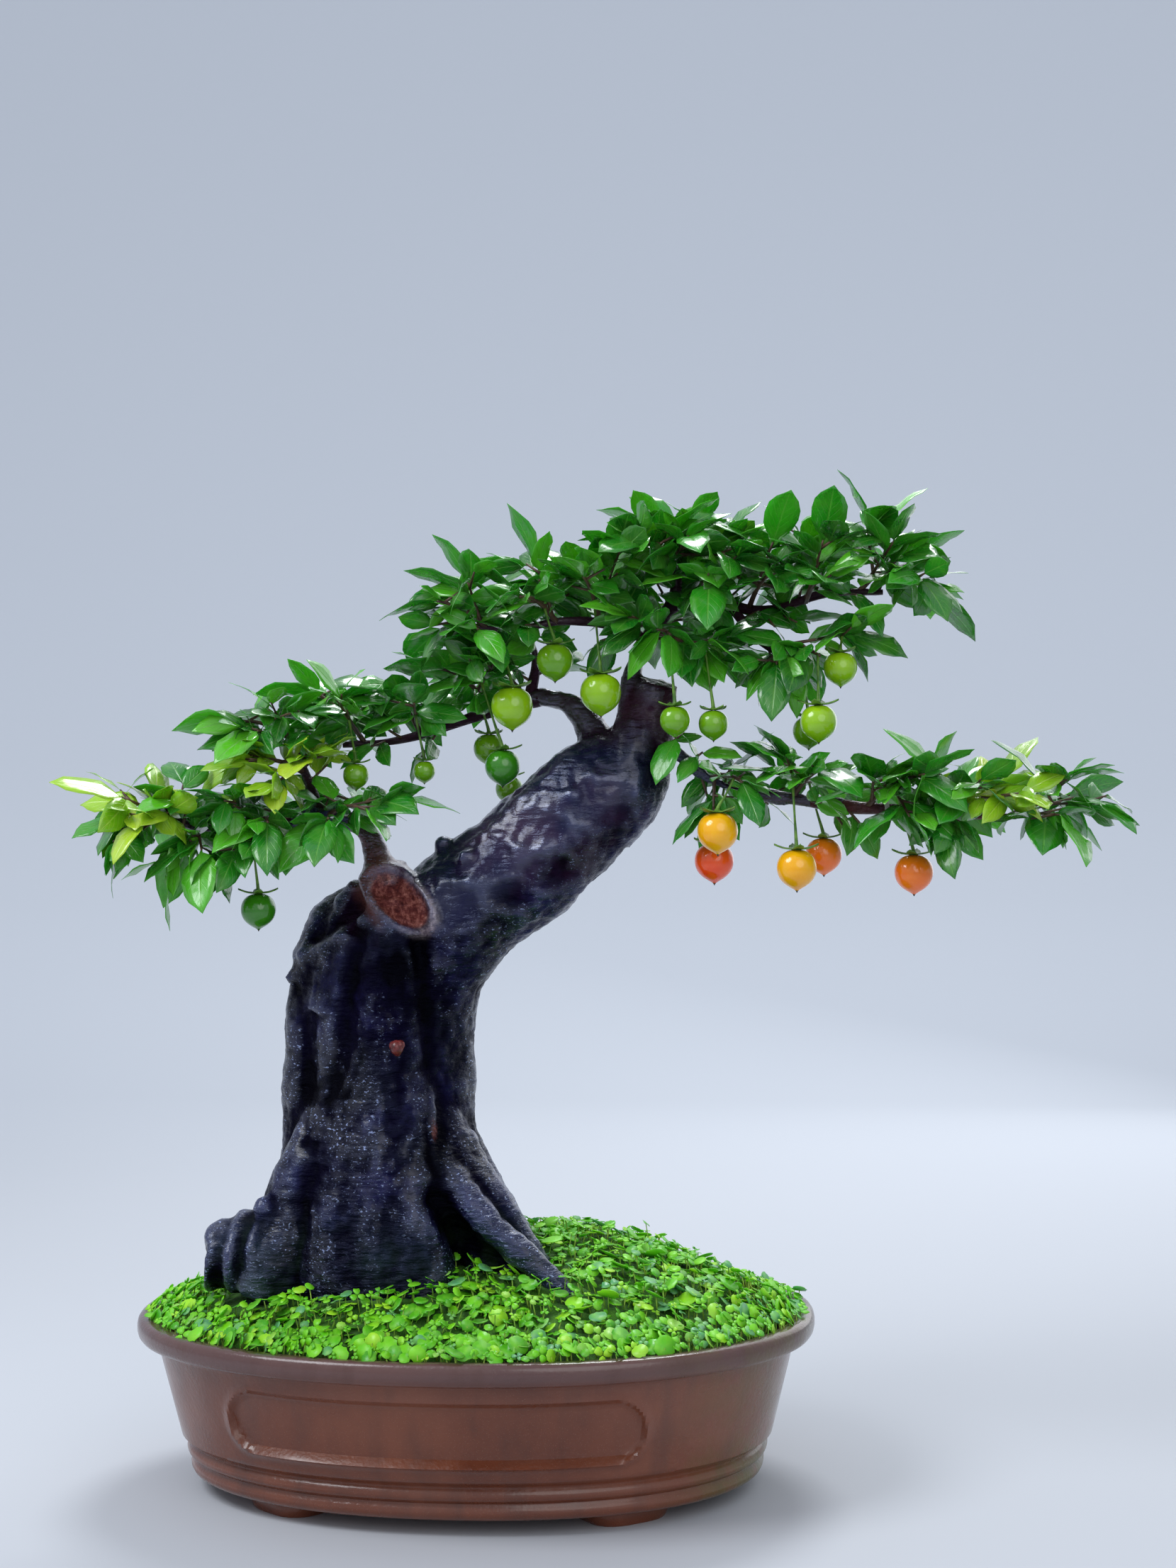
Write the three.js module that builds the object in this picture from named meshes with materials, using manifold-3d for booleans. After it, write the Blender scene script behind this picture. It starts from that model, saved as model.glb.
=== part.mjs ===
// A persimmon bonsai in its oval stoneware pot. Millimetres, +Z up, front of the pot towards -Y.
import * as THREE from 'three';
import { mergeVertices } from 'three/addons/utils/BufferGeometryUtils.js';
import Module from 'manifold-3d';

const wasm = await Module();
wasm.setup();

const up = new THREE.Vector3(0, 0, 1);
const clearance = 0.3;

// Pot: an oval rim, a wall that narrows downwards, two base bands and four low feet
const rimHalfLength = 180;
const rimHalfDepth = 132;
const ovalPower = 2.17;
const depthInsetShare = 0.87;
const potSegments = 28;
const feetHeight = 8;
const floorTop = 18;
const rimTop = 90.5;
const wallThickness = 9;
const rimWidth = 12;
const drainRadius = 10;
const drainX = 72;
const panel = { halfLength: 103, low: 39.5, high: 72, endRadius: 14, depth: 1.8 };
const foot = { x: 86, y: 62, bend: 17 };

// Soil: a dome that is highest behind the trunk, to the right
const soilSegments = 24;
const soilEdge = 82;
const soilRise = 34;
const soilPeak = { x: 60, y: 35, height: 10, spread: 60 };
const soilRings = [0.75, 0.45, 0.12];

// Leaves, twigs and stalks
const bladeThickness = 0.7;
const leafShortest = 27;
const leafSpread = 13;
const leafStep = 23.5;
const stemRadius = 1.7;
const twigRadius = 1.1;
const twigTipRadius = 0.95;
const stalkRadius = 0.65;
const leafGap = 4.2;
const leafTries = 9;
const stemArch = 0.2;

// Trunk strands: x, y, z, radius along each strand
const strands = {
  main: [[-31, 0, 90, 46], [-30, 0, 129, 38], [-31, 0, 163, 33], [-32, 0, 197, 32],
    [-32, 0, 235, 32], [-27, -2, 269, 33], [-10, -3, 295, 34], [8, -4, 312, 33],
    [27, -4, 324, 33], [52, -2, 347, 32], [71, 0, 367, 30], [84, 2, 379, 22]],
  column: [[-40, -23, 328, 9], [-37, -26, 315, 15], [-37, -28, 297, 18], [-39, -27, 275, 20],
    [-40, -27, 245, 22], [-42, -28, 212, 24], [-46, -30, 179, 29], [-51, -32, 142, 34],
    [-52, -32, 90, 39]],
  shoulder: [[-62, -2, 312, 8], [-72, -4, 294, 17], [-76, -5, 272, 21], [-78, -6, 239, 22],
    [-80, -6, 201, 22], [-81, -4, 167, 24], [-84, -2, 136, 27], [-87, 0, 90, 33]],
  frontRidge: [[-25, -24, 212, 9], [-16, -33, 178, 11], [7, -44, 148, 10],
    [25, -48, 134, 9], [44, -50, 120, 7], [58, -51, 106, 5]],
  rightRoot: [[-11, 0, 182, 13], [-1, 4, 159, 13], [12, 8, 135, 12], [30, 12, 104, 9]],
  leftRoot: [[-66, -20, 186, 14], [-81, -32, 156, 17], [-94, -40, 133, 17],
    [-108, -44, 104, 15]],
  stump: [[-92, -28, 134, 19], [-112, -35, 125, 19], [-126, -38, 123, 18],
    [-134, -39, 122, 15]],
  backRoot: [[-46, 14, 186, 13], [-44, 36, 136, 19], [-42, 54, 98, 18]],
};

// Branches that grew from the trunk: x, y, z, radius
const branches = {
  low: [[-42, -25, 314, 12], [-47, -22, 334, 7], [-54, -22, 346, 5.5], [-76, -22, 352, 5.5],
    [-92, -24, 350, 3.6], [-126, -28, 348, 2.4], [-142, -30, 348, 2.1], [-159, -32, 354, 1.6]],
  lowRise: [[-76, -22, 352, 3.4], [-90, -8, 380, 2.4], [-104, 0, 404, 1.6]],
  left: [[72, 6, 380, 12], [62, 10, 401, 8], [51, 12, 412, 6.5], [36, 14, 415, 5.2],
    [12, 16, 409, 3.5], [-14, 15, 401, 2.8], [-42, 12, 393, 2.3], [-71, 8, 391, 1.6]],
  leftRise: [[30, 15, 413, 3.4], [35, 8, 435, 2.2], [33, 2, 446, 1.7]],
  stub: [[90, 0, 376, 17], [96, 0, 395, 14], [99, -2, 410, 13], [102, -4, 421, 11]],
  crown: [[84, -2, 384, 10], [86, -4, 404, 6], [90, -3, 432, 4.4], [96, 0, 445, 4],
    [111, 2, 469, 3], [109, 2, 490, 2.2], [106, 2, 504, 1.6]],
  crownLeft: [[95, 0, 444, 3.4], [84, -6, 450, 2.8], [55, -14, 454, 2.3],
    [24, -20, 449, 1.8], [9, -22, 451, 1.5]],
  crownRight: [[104, 2, 458, 3.2], [121, 0, 465, 3], [159, -6, 458, 2.7],
    [191, -8, 466, 2.1], [220, -8, 466, 1.5]],
  crownDrop: [[140, -4, 461, 2.7], [161, -12, 438, 2], [177, -14, 432, 1.6]],
  right: [[92, -3, 392, 8], [103, -9, 389, 4], [119, -14, 378, 3], [130, -17, 370, 2.8],
    [166, -21, 360, 2.9], [182, -22, 358, 3.3], [199, -23, 355, 3.8], [228, -25, 353, 2.6],
    [245, -27, 351, 2.4], [286, -30, 349, 1.6]],
};

// Leafy sprays: where each one grows, the tips of its twigs, and how far its leaves lift
const sprays = {
  apex_front: { root: [110, 2, 480], lift: 0,
    tips: [[96, -40, 492], [122, -42, 494], [140, -26, 486], [108, -22, 494]] },
  apex_back: { root: [108, 2, 492], lift: 0,
    tips: [[116, 38, 496], [88, 24, 492], [100, 12, 505], [124, 2, 506]] },
  left_pad_inner: { root: [72, -10, 454], lift: 0,
    tips: [[68, -46, 474], [84, -30, 486], [62, 16, 486], [84, 26, 476]] },
  left_pad_middle: { root: [50, -15, 453], lift: 0,
    tips: [[36, -52, 464], [42, -28, 482], [40, 14, 484], [52, 40, 468]] },
  left_pad_outer: { root: [14, -21, 450], lift: -0.1,
    tips: [[-10, -36, 464], [6, -34, 474], [-6, -8, 474], [-12, -14, 450], [16, -48, 446]] },
  centre_low: { root: [95, -1, 443], lift: -0.3,
    tips: [[112, -42, 444], [130, -28, 440], [140, -8, 436], [92, -36, 454]] },
  centre_back: { root: [97, 1, 446], lift: -0.1,
    tips: [[116, 38, 456], [134, 24, 444], [90, 34, 464]] },
  centre_right: { root: [122, 0, 465], lift: 0,
    tips: [[132, -40, 470], [146, -34, 484], [126, 28, 486], [138, -10, 496]] },
  right_pad_inner: { root: [150, -5, 459], lift: 0.05,
    tips: [[164, -38, 474], [164, -22, 492], [158, 26, 488], [172, 30, 470]] },
  right_pad_middle: { root: [180, -8, 462], lift: 0.1,
    tips: [[190, -42, 470], [190, -26, 492], [182, 12, 500], [200, 26, 482]] },
  right_pad_outer: { root: [207, -8, 466], lift: 0.05,
    tips: [[238, -8, 486], [226, -32, 490], [212, -16, 502], [240, -28, 470],
      [242, 10, 466]] },
  right_low: { root: [162, -12, 438], lift: -0.45,
    tips: [[188, -34, 432], [166, -38, 428], [204, -22, 444], [178, 12, 434]] },
  left_reach: { root: [10, 16, 409], lift: 0,
    tips: [[-12, -8, 430], [8, -22, 432], [22, -14, 442], [2, 38, 426]] },
  left_fork: { root: [-29, 14, 397], lift: -0.1,
    tips: [[-46, -8, 422], [-26, -20, 412], [-44, 38, 414]] },
  left_mid: { root: [-58, 10, 390], lift: 0,
    tips: [[-86, 2, 420], [-66, -26, 414], [-66, 36, 412], [-92, 22, 404]] },
  low_rise_top: { root: [-98, -3, 395], lift: -0.05,
    tips: [[-122, -12, 404], [-108, -30, 398], [-110, 24, 404], [-90, -26, 408]] },
  low_inner: { root: [-74, -22, 352], lift: -0.3,
    tips: [[-46, -46, 356], [-66, -52, 350], [-66, 6, 362], [-40, -28, 362]] },
  low_middle: { root: [-107, -26, 348], lift: -0.35,
    tips: [[-96, -56, 350], [-116, -50, 362], [-102, 8, 358], [-116, -54, 334]] },
  low_outer: { root: [-140, -30, 348], lift: -0.35,
    tips: [[-146, -52, 362], [-132, -54, 336], [-136, 0, 358], [-150, -44, 330]] },
  low_tip: { root: [-157, -32, 353], lift: -0.6,
    tips: [[-178, -36, 350], [-174, -52, 342], [-168, -8, 354]] },
  right_first: { root: [130, -17, 370], lift: -0.35,
    tips: [[148, -40, 368], [132, -28, 352], [138, 8, 370]] },
  right_second: { root: [172, -21, 359], lift: -0.1,
    tips: [[188, -38, 374], [172, -34, 376], [184, 8, 368]] },
  right_third: { root: [210, -24, 354], lift: -0.15,
    tips: [[236, -44, 370], [214, -42, 368], [222, 6, 366], [232, -54, 350]] },
  right_fourth: { root: [243, -27, 351], lift: -0.2,
    tips: [[268, -46, 364], [250, -50, 344], [256, 2, 362], [246, -40, 372]] },
  right_tip: { root: [284, -30, 349], lift: -0.15,
    tips: [[322, -28, 354], [306, -52, 350], [302, -2, 356], [300, -34, 364]] },
};

// Shoots of this year, still yellow-green
const youngSprays = {
  young_low: { root: [-88, -10, 376], lift: 0.1,
    tips: [[-112, -34, 382], [-96, -44, 370], [-72, -36, 384]] },
  young_far_left: { root: [-151, -31, 351], lift: -0.1,
    tips: [[-160, -64, 352], [-172, -62, 364]] },
  young_right: { root: [266, -29, 350], lift: 0.05,
    tips: [[284, -56, 360], [278, -16, 366]] },
};

// Fruits: centre, diameter, the spray that carries it, the length of its stalk, its colour
const green = 0x5f9a12;
const fruits = [
  { at: [-107, -36, 304], size: 18.6, spray: 'low_middle', stalk: 24, colour: 0x1f7a10 },
  { at: [-59, -14, 374], size: 14, spray: 'left_mid', stalk: 14, colour: 0x6f9a1a },
  { at: [-24, -4, 376], size: 11.8, spray: 'left_fork', stalk: 22, colour: 0x6f9a1a },
  { at: [8, 14, 388], size: 16.8, spray: 'left_reach', stalk: 14, colour: green },
  { at: [27, -24, 409], size: 22.2, spray: 'left_reach', stalk: 16, colour: 0x7ab317 },
  { at: [19, -8, 378], size: 19, spray: 'left_reach', stalk: 30, colour: 0x2f8a12 },
  { at: [16, 32, 366], size: 15.2, spray: 'left_reach', stalk: 38, colour: green },
  { at: [51, -32, 432], size: 19.2, spray: 'left_pad_middle', stalk: 16, colour: 0x4f9412 },
  { at: [75, -34, 415], size: 21.6, spray: 'left_pad_inner', stalk: 24, colour: 0x86b81c },
  { at: [114, -42, 400], size: 15.7, spray: 'centre_low', stalk: 30, colour: 0x6fb01c },
  { at: [133, -34, 398], size: 15.4, spray: 'centre_low', stalk: 26, colour: 0x5f9a1a },
  { at: [198, -28, 426], size: 17.5, spray: 'right_low', stalk: 12, colour: 0x86b81c },
  { at: [187, -44, 398], size: 18.7, spray: 'right_low', stalk: 26, colour: 0x7ab317 },
  { at: [181, -16, 394], size: 16.6, spray: 'right_low', stalk: 30, colour: green },
  { at: [135, -40, 343], size: 21.1, spray: 'right_first', stalk: 12, colour: 0xf0a800 },
  { at: [131, -12, 327], size: 20.7, spray: 'right_first', stalk: 26, colour: 0xe0461a },
  { at: [175, -40, 324], size: 20.6, spray: 'right_second', stalk: 26, colour: 0xf0a800 },
  { at: [188, -14, 330], size: 19, spray: 'right_second', stalk: 24, colour: 0xe8641a },
  { at: [234, -30, 321], size: 19.9, spray: 'right_third', stalk: 22, colour: 0xec8410 },
];

// Ground cover: patches round the trunk, on the same rings and segments as the soil
const coverSectors = 6;
const coverTurn = Math.PI / 12;
const coverEdge = 0.97;
const coverSteps = soilSegments / coverSectors;
const coverLift = 0.5;
const coverThickness = 3.5;
const coverLeafRadius = 9.8;
const coverLeafSides = 6;
const coverLeafRise = 4.5;
const coverTries = 4000;

const fruitTop = 0.9;

// Thread tie round the right branch
const tie = { at: [221, -24.5, 353.5], radius: 3.9, thickness: 0.45 };

const colours = {
  pot: 0x7a3f2a, soil: 0x2a211a, screen: 0x3a3a3a, wood: 0x2b2430, leaf: 0x1f7a1c,
  young: 0x9ac81e, cover: 0x45b81a, thread: 0xe6e2d6,
};

function finish(colour, roughness) {
  return new THREE.MeshStandardMaterial({ color: colour, roughness, metalness: 0 });
}

// The same seed always gives the same draws
function makeRandom(seed) {
  let state = seed >>> 0;
  return () => {
    state = (state + 0x6d2b79f5) >>> 0;
    let t = state;
    t = Math.imul(t ^ (t >>> 15), t | 1);
    t ^= t + Math.imul(t ^ (t >>> 7), t | 61);
    return ((t ^ (t >>> 14)) >>> 0) / 4294967296;
  };
}

function signedVolume(points, triangles) {
  let volume = 0;
  for (let i = 0; i < triangles.length; i += 3) {
    const [a, b, c] = [0, 1, 2].map((k) => points[triangles[i + k]]);
    volume += a[0] * (b[1] * c[2] - b[2] * c[1]) - a[1] * (b[0] * c[2] - b[2] * c[0])
      + a[2] * (b[0] * c[1] - b[1] * c[0]);
  }
  return volume / 6;
}

function makeSolid(points, triangles) {
  const turned = [...triangles];
  if (signedVolume(points, triangles) < 0) {
    for (let i = 0; i < turned.length; i += 3) {
      [turned[i + 1], turned[i + 2]] = [turned[i + 2], turned[i + 1]];
    }
  }
  return new wasm.Manifold(new wasm.Mesh({
    numProp: 3,
    vertProperties: Float32Array.from(points.flat()),
    triVerts: Uint32Array.from(turned),
  }));
}

function geometryToSolid(geometry) {
  geometry.deleteAttribute('normal');
  geometry.deleteAttribute('uv');
  const merged = mergeVertices(geometry, 1e-4);
  const place = merged.getAttribute('position');
  const points = [];
  for (let i = 0; i < place.count; i += 1) {
    points.push([place.getX(i), place.getY(i), place.getZ(i)]);
  }
  const triangles = [];
  const index = merged.getIndex().array;
  for (let i = 0; i < index.length; i += 3) {
    const [a, b, c] = [index[i], index[i + 1], index[i + 2]];
    if (a !== b && b !== c && c !== a) triangles.push(a, b, c);
  }
  return makeSolid(points, triangles);
}

function solidToMesh(solid, name, material) {
  const { vertProperties, triVerts } = solid.getMesh();
  const geometry = new THREE.BufferGeometry();
  geometry.setAttribute('position', new THREE.BufferAttribute(vertProperties.slice(), 3));
  geometry.setIndex([...triVerts]);
  geometry.computeVertexNormals();
  const mesh = new THREE.Mesh(geometry, material);
  mesh.name = name;
  return mesh;
}

// Joins in pairs, so that no one solid is carried through every join
function joinAll(solids) {
  let row = solids;
  while (row.length > 1) {
    const next = [];
    for (let i = 0; i < row.length; i += 2) {
      next.push(i + 1 < row.length ? row[i].add(row[i + 1]) : row[i]);
    }
    row = next;
  }
  return row[0];
}

// The connected body with the most triangles; what a cut leaves loose is dropped
function largestBody(solid) {
  const { vertProperties, triVerts } = solid.getMesh();
  const owner = Array.from({ length: vertProperties.length / 3 }, (_, i) => i);
  const find = (i) => {
    let root = i;
    while (owner[root] !== root) root = owner[root];
    owner[i] = root;
    return root;
  };
  for (let i = 0; i < triVerts.length; i += 3) {
    owner[find(triVerts[i + 1])] = find(triVerts[i]);
    owner[find(triVerts[i + 2])] = find(triVerts[i]);
  }
  const counts = new Map();
  for (let i = 0; i < triVerts.length; i += 3) {
    const root = find(triVerts[i]);
    counts.set(root, (counts.get(root) || 0) + 1);
  }
  const biggest = [...counts].sort((a, b) => b[1] - a[1])[0][0];
  const numbers = new Map();
  const points = [];
  const triangles = [];
  for (let i = 0; i < triVerts.length; i += 3) {
    if (find(triVerts[i]) !== biggest) continue;
    for (let k = 0; k < 3; k += 1) {
      const v = triVerts[i + k];
      if (!numbers.has(v)) {
        numbers.set(v, points.length);
        points.push([...vertProperties.slice(v * 3, v * 3 + 3)]);
      }
      triangles.push(numbers.get(v));
    }
  }
  return makeSolid(points, triangles);
}

// Closed skin over rings of equal count, with a flat cap on the first and the last
function loft(rings) {
  const count = rings[0].length;
  const triangles = [];
  for (let i = 0; i + 1 < rings.length; i += 1) {
    for (let j = 0; j < count; j += 1) {
      const a = i * count + j;
      const b = i * count + ((j + 1) % count);
      triangles.push(a, b, b + count, a, b + count, a + count);
    }
  }
  const last = (rings.length - 1) * count;
  for (let j = 1; j + 1 < count; j += 1) {
    triangles.push(0, j + 1, j, last, last + j, last + j + 1);
  }
  return makeSolid(rings.flat(), triangles);
}

// Rings square to the run, turned as little as possible from one to the next
function tube(run, sides, swell = 0) {
  const places = run.map((p) => new THREE.Vector3(p[0], p[1], p[2]));
  let side = null;
  const rings = run.map((p, i) => {
    const along = places[Math.min(i + 1, run.length - 1)].clone()
      .sub(places[Math.max(i - 1, 0)]).normalize();
    const start = side || (Math.abs(along.x) < 0.8 ? new THREE.Vector3(1, 0, 0)
      : new THREE.Vector3(0, 1, 0));
    side = start.clone().addScaledVector(along, -start.dot(along)).normalize();
    const across = along.clone().cross(side);
    return Array.from({ length: sides }, (_, k) => {
      const turn = (k / sides) * Math.PI * 2;
      return places[i].clone()
        .addScaledVector(side, Math.cos(turn) * (p[3] + swell))
        .addScaledVector(across, Math.sin(turn) * (p[3] + swell)).toArray();
    });
  });
  return loft(rings);
}

// Point on the pot's oval, drawn in from the rim's edge
function ovalPoint(turn, inset, z) {
  const c = Math.cos(turn);
  const s = Math.sin(turn);
  const power = 2 / ovalPower;
  return [
    Math.sign(c) * Math.abs(c) ** power * (rimHalfLength - inset),
    Math.sign(s) * Math.abs(s) ** power * (rimHalfDepth - inset * depthInsetShare),
    z,
  ];
}

function ovalRings(profile, segments = potSegments) {
  return profile.map(([inset, z]) => Array.from({ length: segments }, (_, k) =>
    ovalPoint((k / segments) * Math.PI * 2, inset, z)));
}

function prism(outline, depth) {
  const shape = new THREE.Shape(outline.map(([x, y]) => new THREE.Vector2(x, y)));
  return new THREE.ExtrudeGeometry(shape, { depth, bevelEnabled: false });
}

function box(low, high) {
  const size = high.map((h, i) => h - low[i]);
  const geometry = new THREE.BoxGeometry(...size);
  geometry.translate(...high.map((h, i) => (h + low[i]) / 2));
  return geometryToSolid(geometry);
}

const wallInset = [[10.5, 78], [21, 31]];

// A panel with round ends, recessed in the front and back walls
function panelCutter(front) {
  const outline = [];
  const { halfLength, low, high, endRadius } = panel;
  const corners = [[halfLength, high, 0], [-halfLength, high, 1], [-halfLength, low, 2],
    [halfLength, low, 3]];
  corners.forEach(([x, z, quarter]) => {
    const centreX = x - Math.sign(x) * endRadius;
    const centreZ = z + (z === high ? -endRadius : endRadius);
    for (let k = 0; k <= 3; k += 1) {
      const turn = ((quarter + k / 3) * Math.PI) / 2;
      outline.push([centreX + endRadius * Math.cos(turn), centreZ + endRadius * Math.sin(turn)]);
    }
  });
  const geometry = prism(outline, rimHalfDepth);
  geometry.rotateX(Math.PI / 2);
  if (!front) geometry.translate(0, rimHalfDepth, 0);
  const kept = [[9, 84], ...wallInset, [24, 24]].map(([inset, z]) => [inset + panel.depth, z]);
  return geometryToSolid(geometry).subtract(loft(ovalRings(kept)));
}

// A low foot with a curled inner edge, under the base band
function footSolid(signX, signY) {
  const halfX = 22;
  const halfY = 15;
  const outline = [[-halfX, halfY], [-halfX, -halfY], [halfX * 0.55, -halfY],
    [halfX, -halfY * 0.3], [halfX * 0.8, halfY]];
  const top = outline.map(([x, y]) => [x * 1.15, y * 1.05, feetHeight + 2]);
  const middle = outline.map(([x, y]) => [x, y, feetHeight * 0.45]);
  const low = outline.map(([x, y]) => [x * 0.94, y * 0.94, 0]);
  const turn = Math.atan2(signY * foot.bend, 50);
  const rings = [low, middle, top].map((ring) => ring.map(([x, y, z]) => {
    const px = -signX * x;
    const py = signY * -y;
    return [
      signX * foot.x + px * Math.cos(turn * signX) + py * Math.sin(turn * signX),
      signY * foot.y - px * Math.sin(turn * signX) + py * Math.cos(turn * signX),
      z,
    ];
  }));
  return loft(rings);
}

function potSolid() {
  const outer = loft(ovalRings([
    [30, feetHeight], [27.5, 12], [29, 17], [25.5, 20], [27.5, 25], [23, 28],
    ...[...wallInset].reverse(), [1.5, 79.5], [0, 84], [2, rimTop],
  ]));
  const inner = loft(ovalRings([
    [40, floorTop], [24.5 + wallThickness, floorTop + 8], [14 + wallThickness, 66],
    [rimWidth, rimTop + 1],
  ], soilSegments));
  let pot = outer.subtract(inner);
  [1, -1].forEach((side) => {
    const drain = new THREE.CylinderGeometry(drainRadius, drainRadius, 30, 8);
    drain.rotateX(Math.PI / 2);
    drain.translate(side * drainX, 0, feetHeight + 5);
    pot = pot.subtract(geometryToSolid(drain));
    pot = pot.subtract(panelCutter(side > 0));
  });
  [[1, 1], [1, -1], [-1, 1], [-1, -1]].forEach(([x, y]) => {
    pot = pot.add(footSolid(x, y));
  });
  return pot;
}

// Net over each drain hole, lying on the pot's floor
const screenHalf = 17;
const screenTop = 1.2;

function screenSolid(side) {
  const low = floorTop + clearance;
  let plate = box([side * drainX - screenHalf, -screenHalf, low],
    [side * drainX + screenHalf, screenHalf, low + screenTop]);
  const cells = 2;
  const pitch = (screenHalf * 2 - 4) / cells;
  for (let i = 0; i < cells; i += 1) {
    for (let j = 0; j < cells; j += 1) {
      const x = side * drainX - screenHalf + 3 + i * pitch;
      const y = -screenHalf + 3 + j * pitch;
      plate = plate.subtract(box([x, y, low - 1], [x + pitch - 2, y + pitch - 2, low + 3]));
    }
  }
  return plate;
}

function soilHeight(x, y) {
  const reach = (x / (rimHalfLength - rimWidth)) ** 2
    + (y / (rimHalfDepth - rimWidth * depthInsetShare)) ** 2;
  const away = ((x - soilPeak.x) ** 2 + (y - soilPeak.y) ** 2) / soilPeak.spread ** 2;
  return soilEdge + soilRise * Math.max(0, 1 - reach) ** 0.9
    + soilPeak.height * Math.exp(-away);
}

// A plain hole round the trunk's foot, as wide as the wood reaches on each side below its rim
const holeSides = 18;
const holeRim = 140;
const holeSpare = 2;

function trunkHole(wood) {
  const { vertProperties } = wood.getMesh();
  const [cx, cy] = [strands.main[0][0] - 8, strands.main[0][1] - 10];
  const reach = new Array(holeSides).fill(20);
  for (let i = 0; i < vertProperties.length; i += 3) {
    const [x, y, z] = vertProperties.slice(i, i + 3);
    if (z > holeRim) continue;
    const turn = Math.atan2(y - cy, x - cx) / (Math.PI * 2) + 1;
    const near = Math.round(turn * holeSides);
    [-1, 0, 1].forEach((k) => {
      const side = (near + k) % holeSides;
      const along = ((x - cx) * Math.cos((side / holeSides) * Math.PI * 2)
        + (y - cy) * Math.sin((side / holeSides) * Math.PI * 2));
      reach[side] = Math.max(reach[side], along / Math.cos(Math.PI / holeSides) + holeSpare);
    });
  }
  return loft([trunkFoot - clearance, holeRim + 40].map((z) => reach.map((r, k) => {
    const turn = (k / holeSides) * Math.PI * 2;
    return [cx + r * Math.cos(turn), cy + r * Math.sin(turn), z];
  })));
}

function soilSolid(trunkPocket) {
  const wallGap = 1.6;
  const rings = ovalRings([
    [40 + wallGap, floorTop + clearance], [24.5 + wallThickness + wallGap, floorTop + 8],
    [14 + wallThickness + wallGap, 66], [rimWidth + 4 + wallGap, soilEdge - 2],
  ], soilSegments);
  soilRings.forEach((share) => {
    rings.push(Array.from({ length: soilSegments }, (_, k) => {
      const [x, y] = ovalPoint((k / soilSegments) * Math.PI * 2, rimWidth, 0).map((v) => v * share);
      return [x, y, soilHeight(x, y)];
    }));
  });
  let soil = loft(rings).subtract(trunkPocket);
  [1, -1].forEach((side) => {
    const reach = screenHalf + clearance;
    soil = soil.subtract(box([side * drainX - reach, -reach, floorTop - 1],
      [side * drainX + reach, reach, floorTop + screenTop + 2 * clearance]));
  });
  return soil;
}

// The lower trunk is one skin drawn round the three main strands; higher up they part
const bodyStrands = ['main', 'column', 'shoulder'];
const bodyHeights = [91, 110, 130, 152, 178, 208, 242, 276];
const bodySides = 15;
const partHeight = 262;
const partStart = 250;
const tuckDepth = 5;
const trunkFoot = 95;
const scar = { at: [-36, -40, 303], lean: 0.62, turn: 0.36 };
const strandSides = { main: 9, column: 8, shoulder: 7, stump: 7 };
const branchSides = (points) => (points[0][3] > 7 ? 5 : 4);

// Where a strand passes a height: its centre and its radius there
function strandAt(points, z) {
  for (let i = 0; i + 1 < points.length; i += 1) {
    const [a, b] = [points[i], points[i + 1]];
    const share = (z - a[2]) / (b[2] - a[2]);
    if (share >= 0 && share <= 1) return a.map((v, n) => v + (b[n] - v) * share);
  }
  return null;
}

function bodySolid(swell) {
  const rings = bodyHeights.map((z, i) => {
    const tuck = i === bodyHeights.length - 1 ? tuckDepth : 0;
    const circles = bodyStrands.map((name) => strandAt(strands[name], z));
    const [cx, cy] = [-48, -14];
    return Array.from({ length: bodySides }, (_, k) => {
      const turn = (k / bodySides) * Math.PI * 2;
      const [dx, dy] = [Math.cos(turn), Math.sin(turn)];
      const reach = Math.max(...circles.map(([x, y, , r]) => {
        const ahead = (x - cx) * dx + (y - cy) * dy;
        const aside = (x - cx) * dy - (y - cy) * dx;
        return Math.abs(aside) < r ? ahead + Math.sqrt(r * r - aside * aside) : 0;
      }));
      return [cx + dx * (reach + swell - tuck), cy + dy * (reach + swell - tuck), z];
    });
  });
  return loft(rings);
}

// The upper part of a main strand, begun inside the skin
function partedRun(points) {
  const [x, y, z, r] = strandAt(points, partStart);
  return [[x, y, z, r - tuckDepth], ...points.filter((p) => p[2] > partHeight)]
    .sort((a, b) => a[2] - b[2]);
}

// The oval cut where a limb was taken off, on the front of the middle strand
function scarCutter() {
  const block = new THREE.BoxGeometry(90, 90, 60);
  block.translate(0, 0, 30);
  block.rotateX(Math.PI / 2 - scar.lean);
  block.rotateZ(scar.turn);
  block.translate(...scar.at);
  return geometryToSolid(block);
}

function woodSolid(swell = 0) {
  const pieces = [bodySolid(swell)];
  Object.entries(strands).forEach(([name, points]) => {
    const run = bodyStrands.includes(name) ? partedRun(points) : points;
    let piece = tube(run, strandSides[name] || 5, swell);
    if (name === 'column') piece = piece.subtract(scarCutter());
    pieces.push(piece);
  });
  Object.values(branches).forEach((points) => {
    pieces.push(tube(points, branchSides(points), swell));
  });
  const below = box([-300, -200, 0], [300, 200, trunkFoot - swell]);
  return largestBody(joinAll(pieces).subtract(below));
}

const v3 = (p) => new THREE.Vector3(p[0], p[1], p[2]);

// A spray's stem leaves its root, arches and levels out at its tip; side twigs are straight
function twigPoint(twig, t) {
  const { root, tip, arch } = twig;
  const bend = root.clone().lerp(tip, 0.5).addScaledVector(up, arch * root.distanceTo(tip));
  return root.clone().multiplyScalar((1 - t) ** 2)
    .addScaledVector(bend, 2 * t * (1 - t))
    .addScaledVector(tip, t * t);
}

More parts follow.
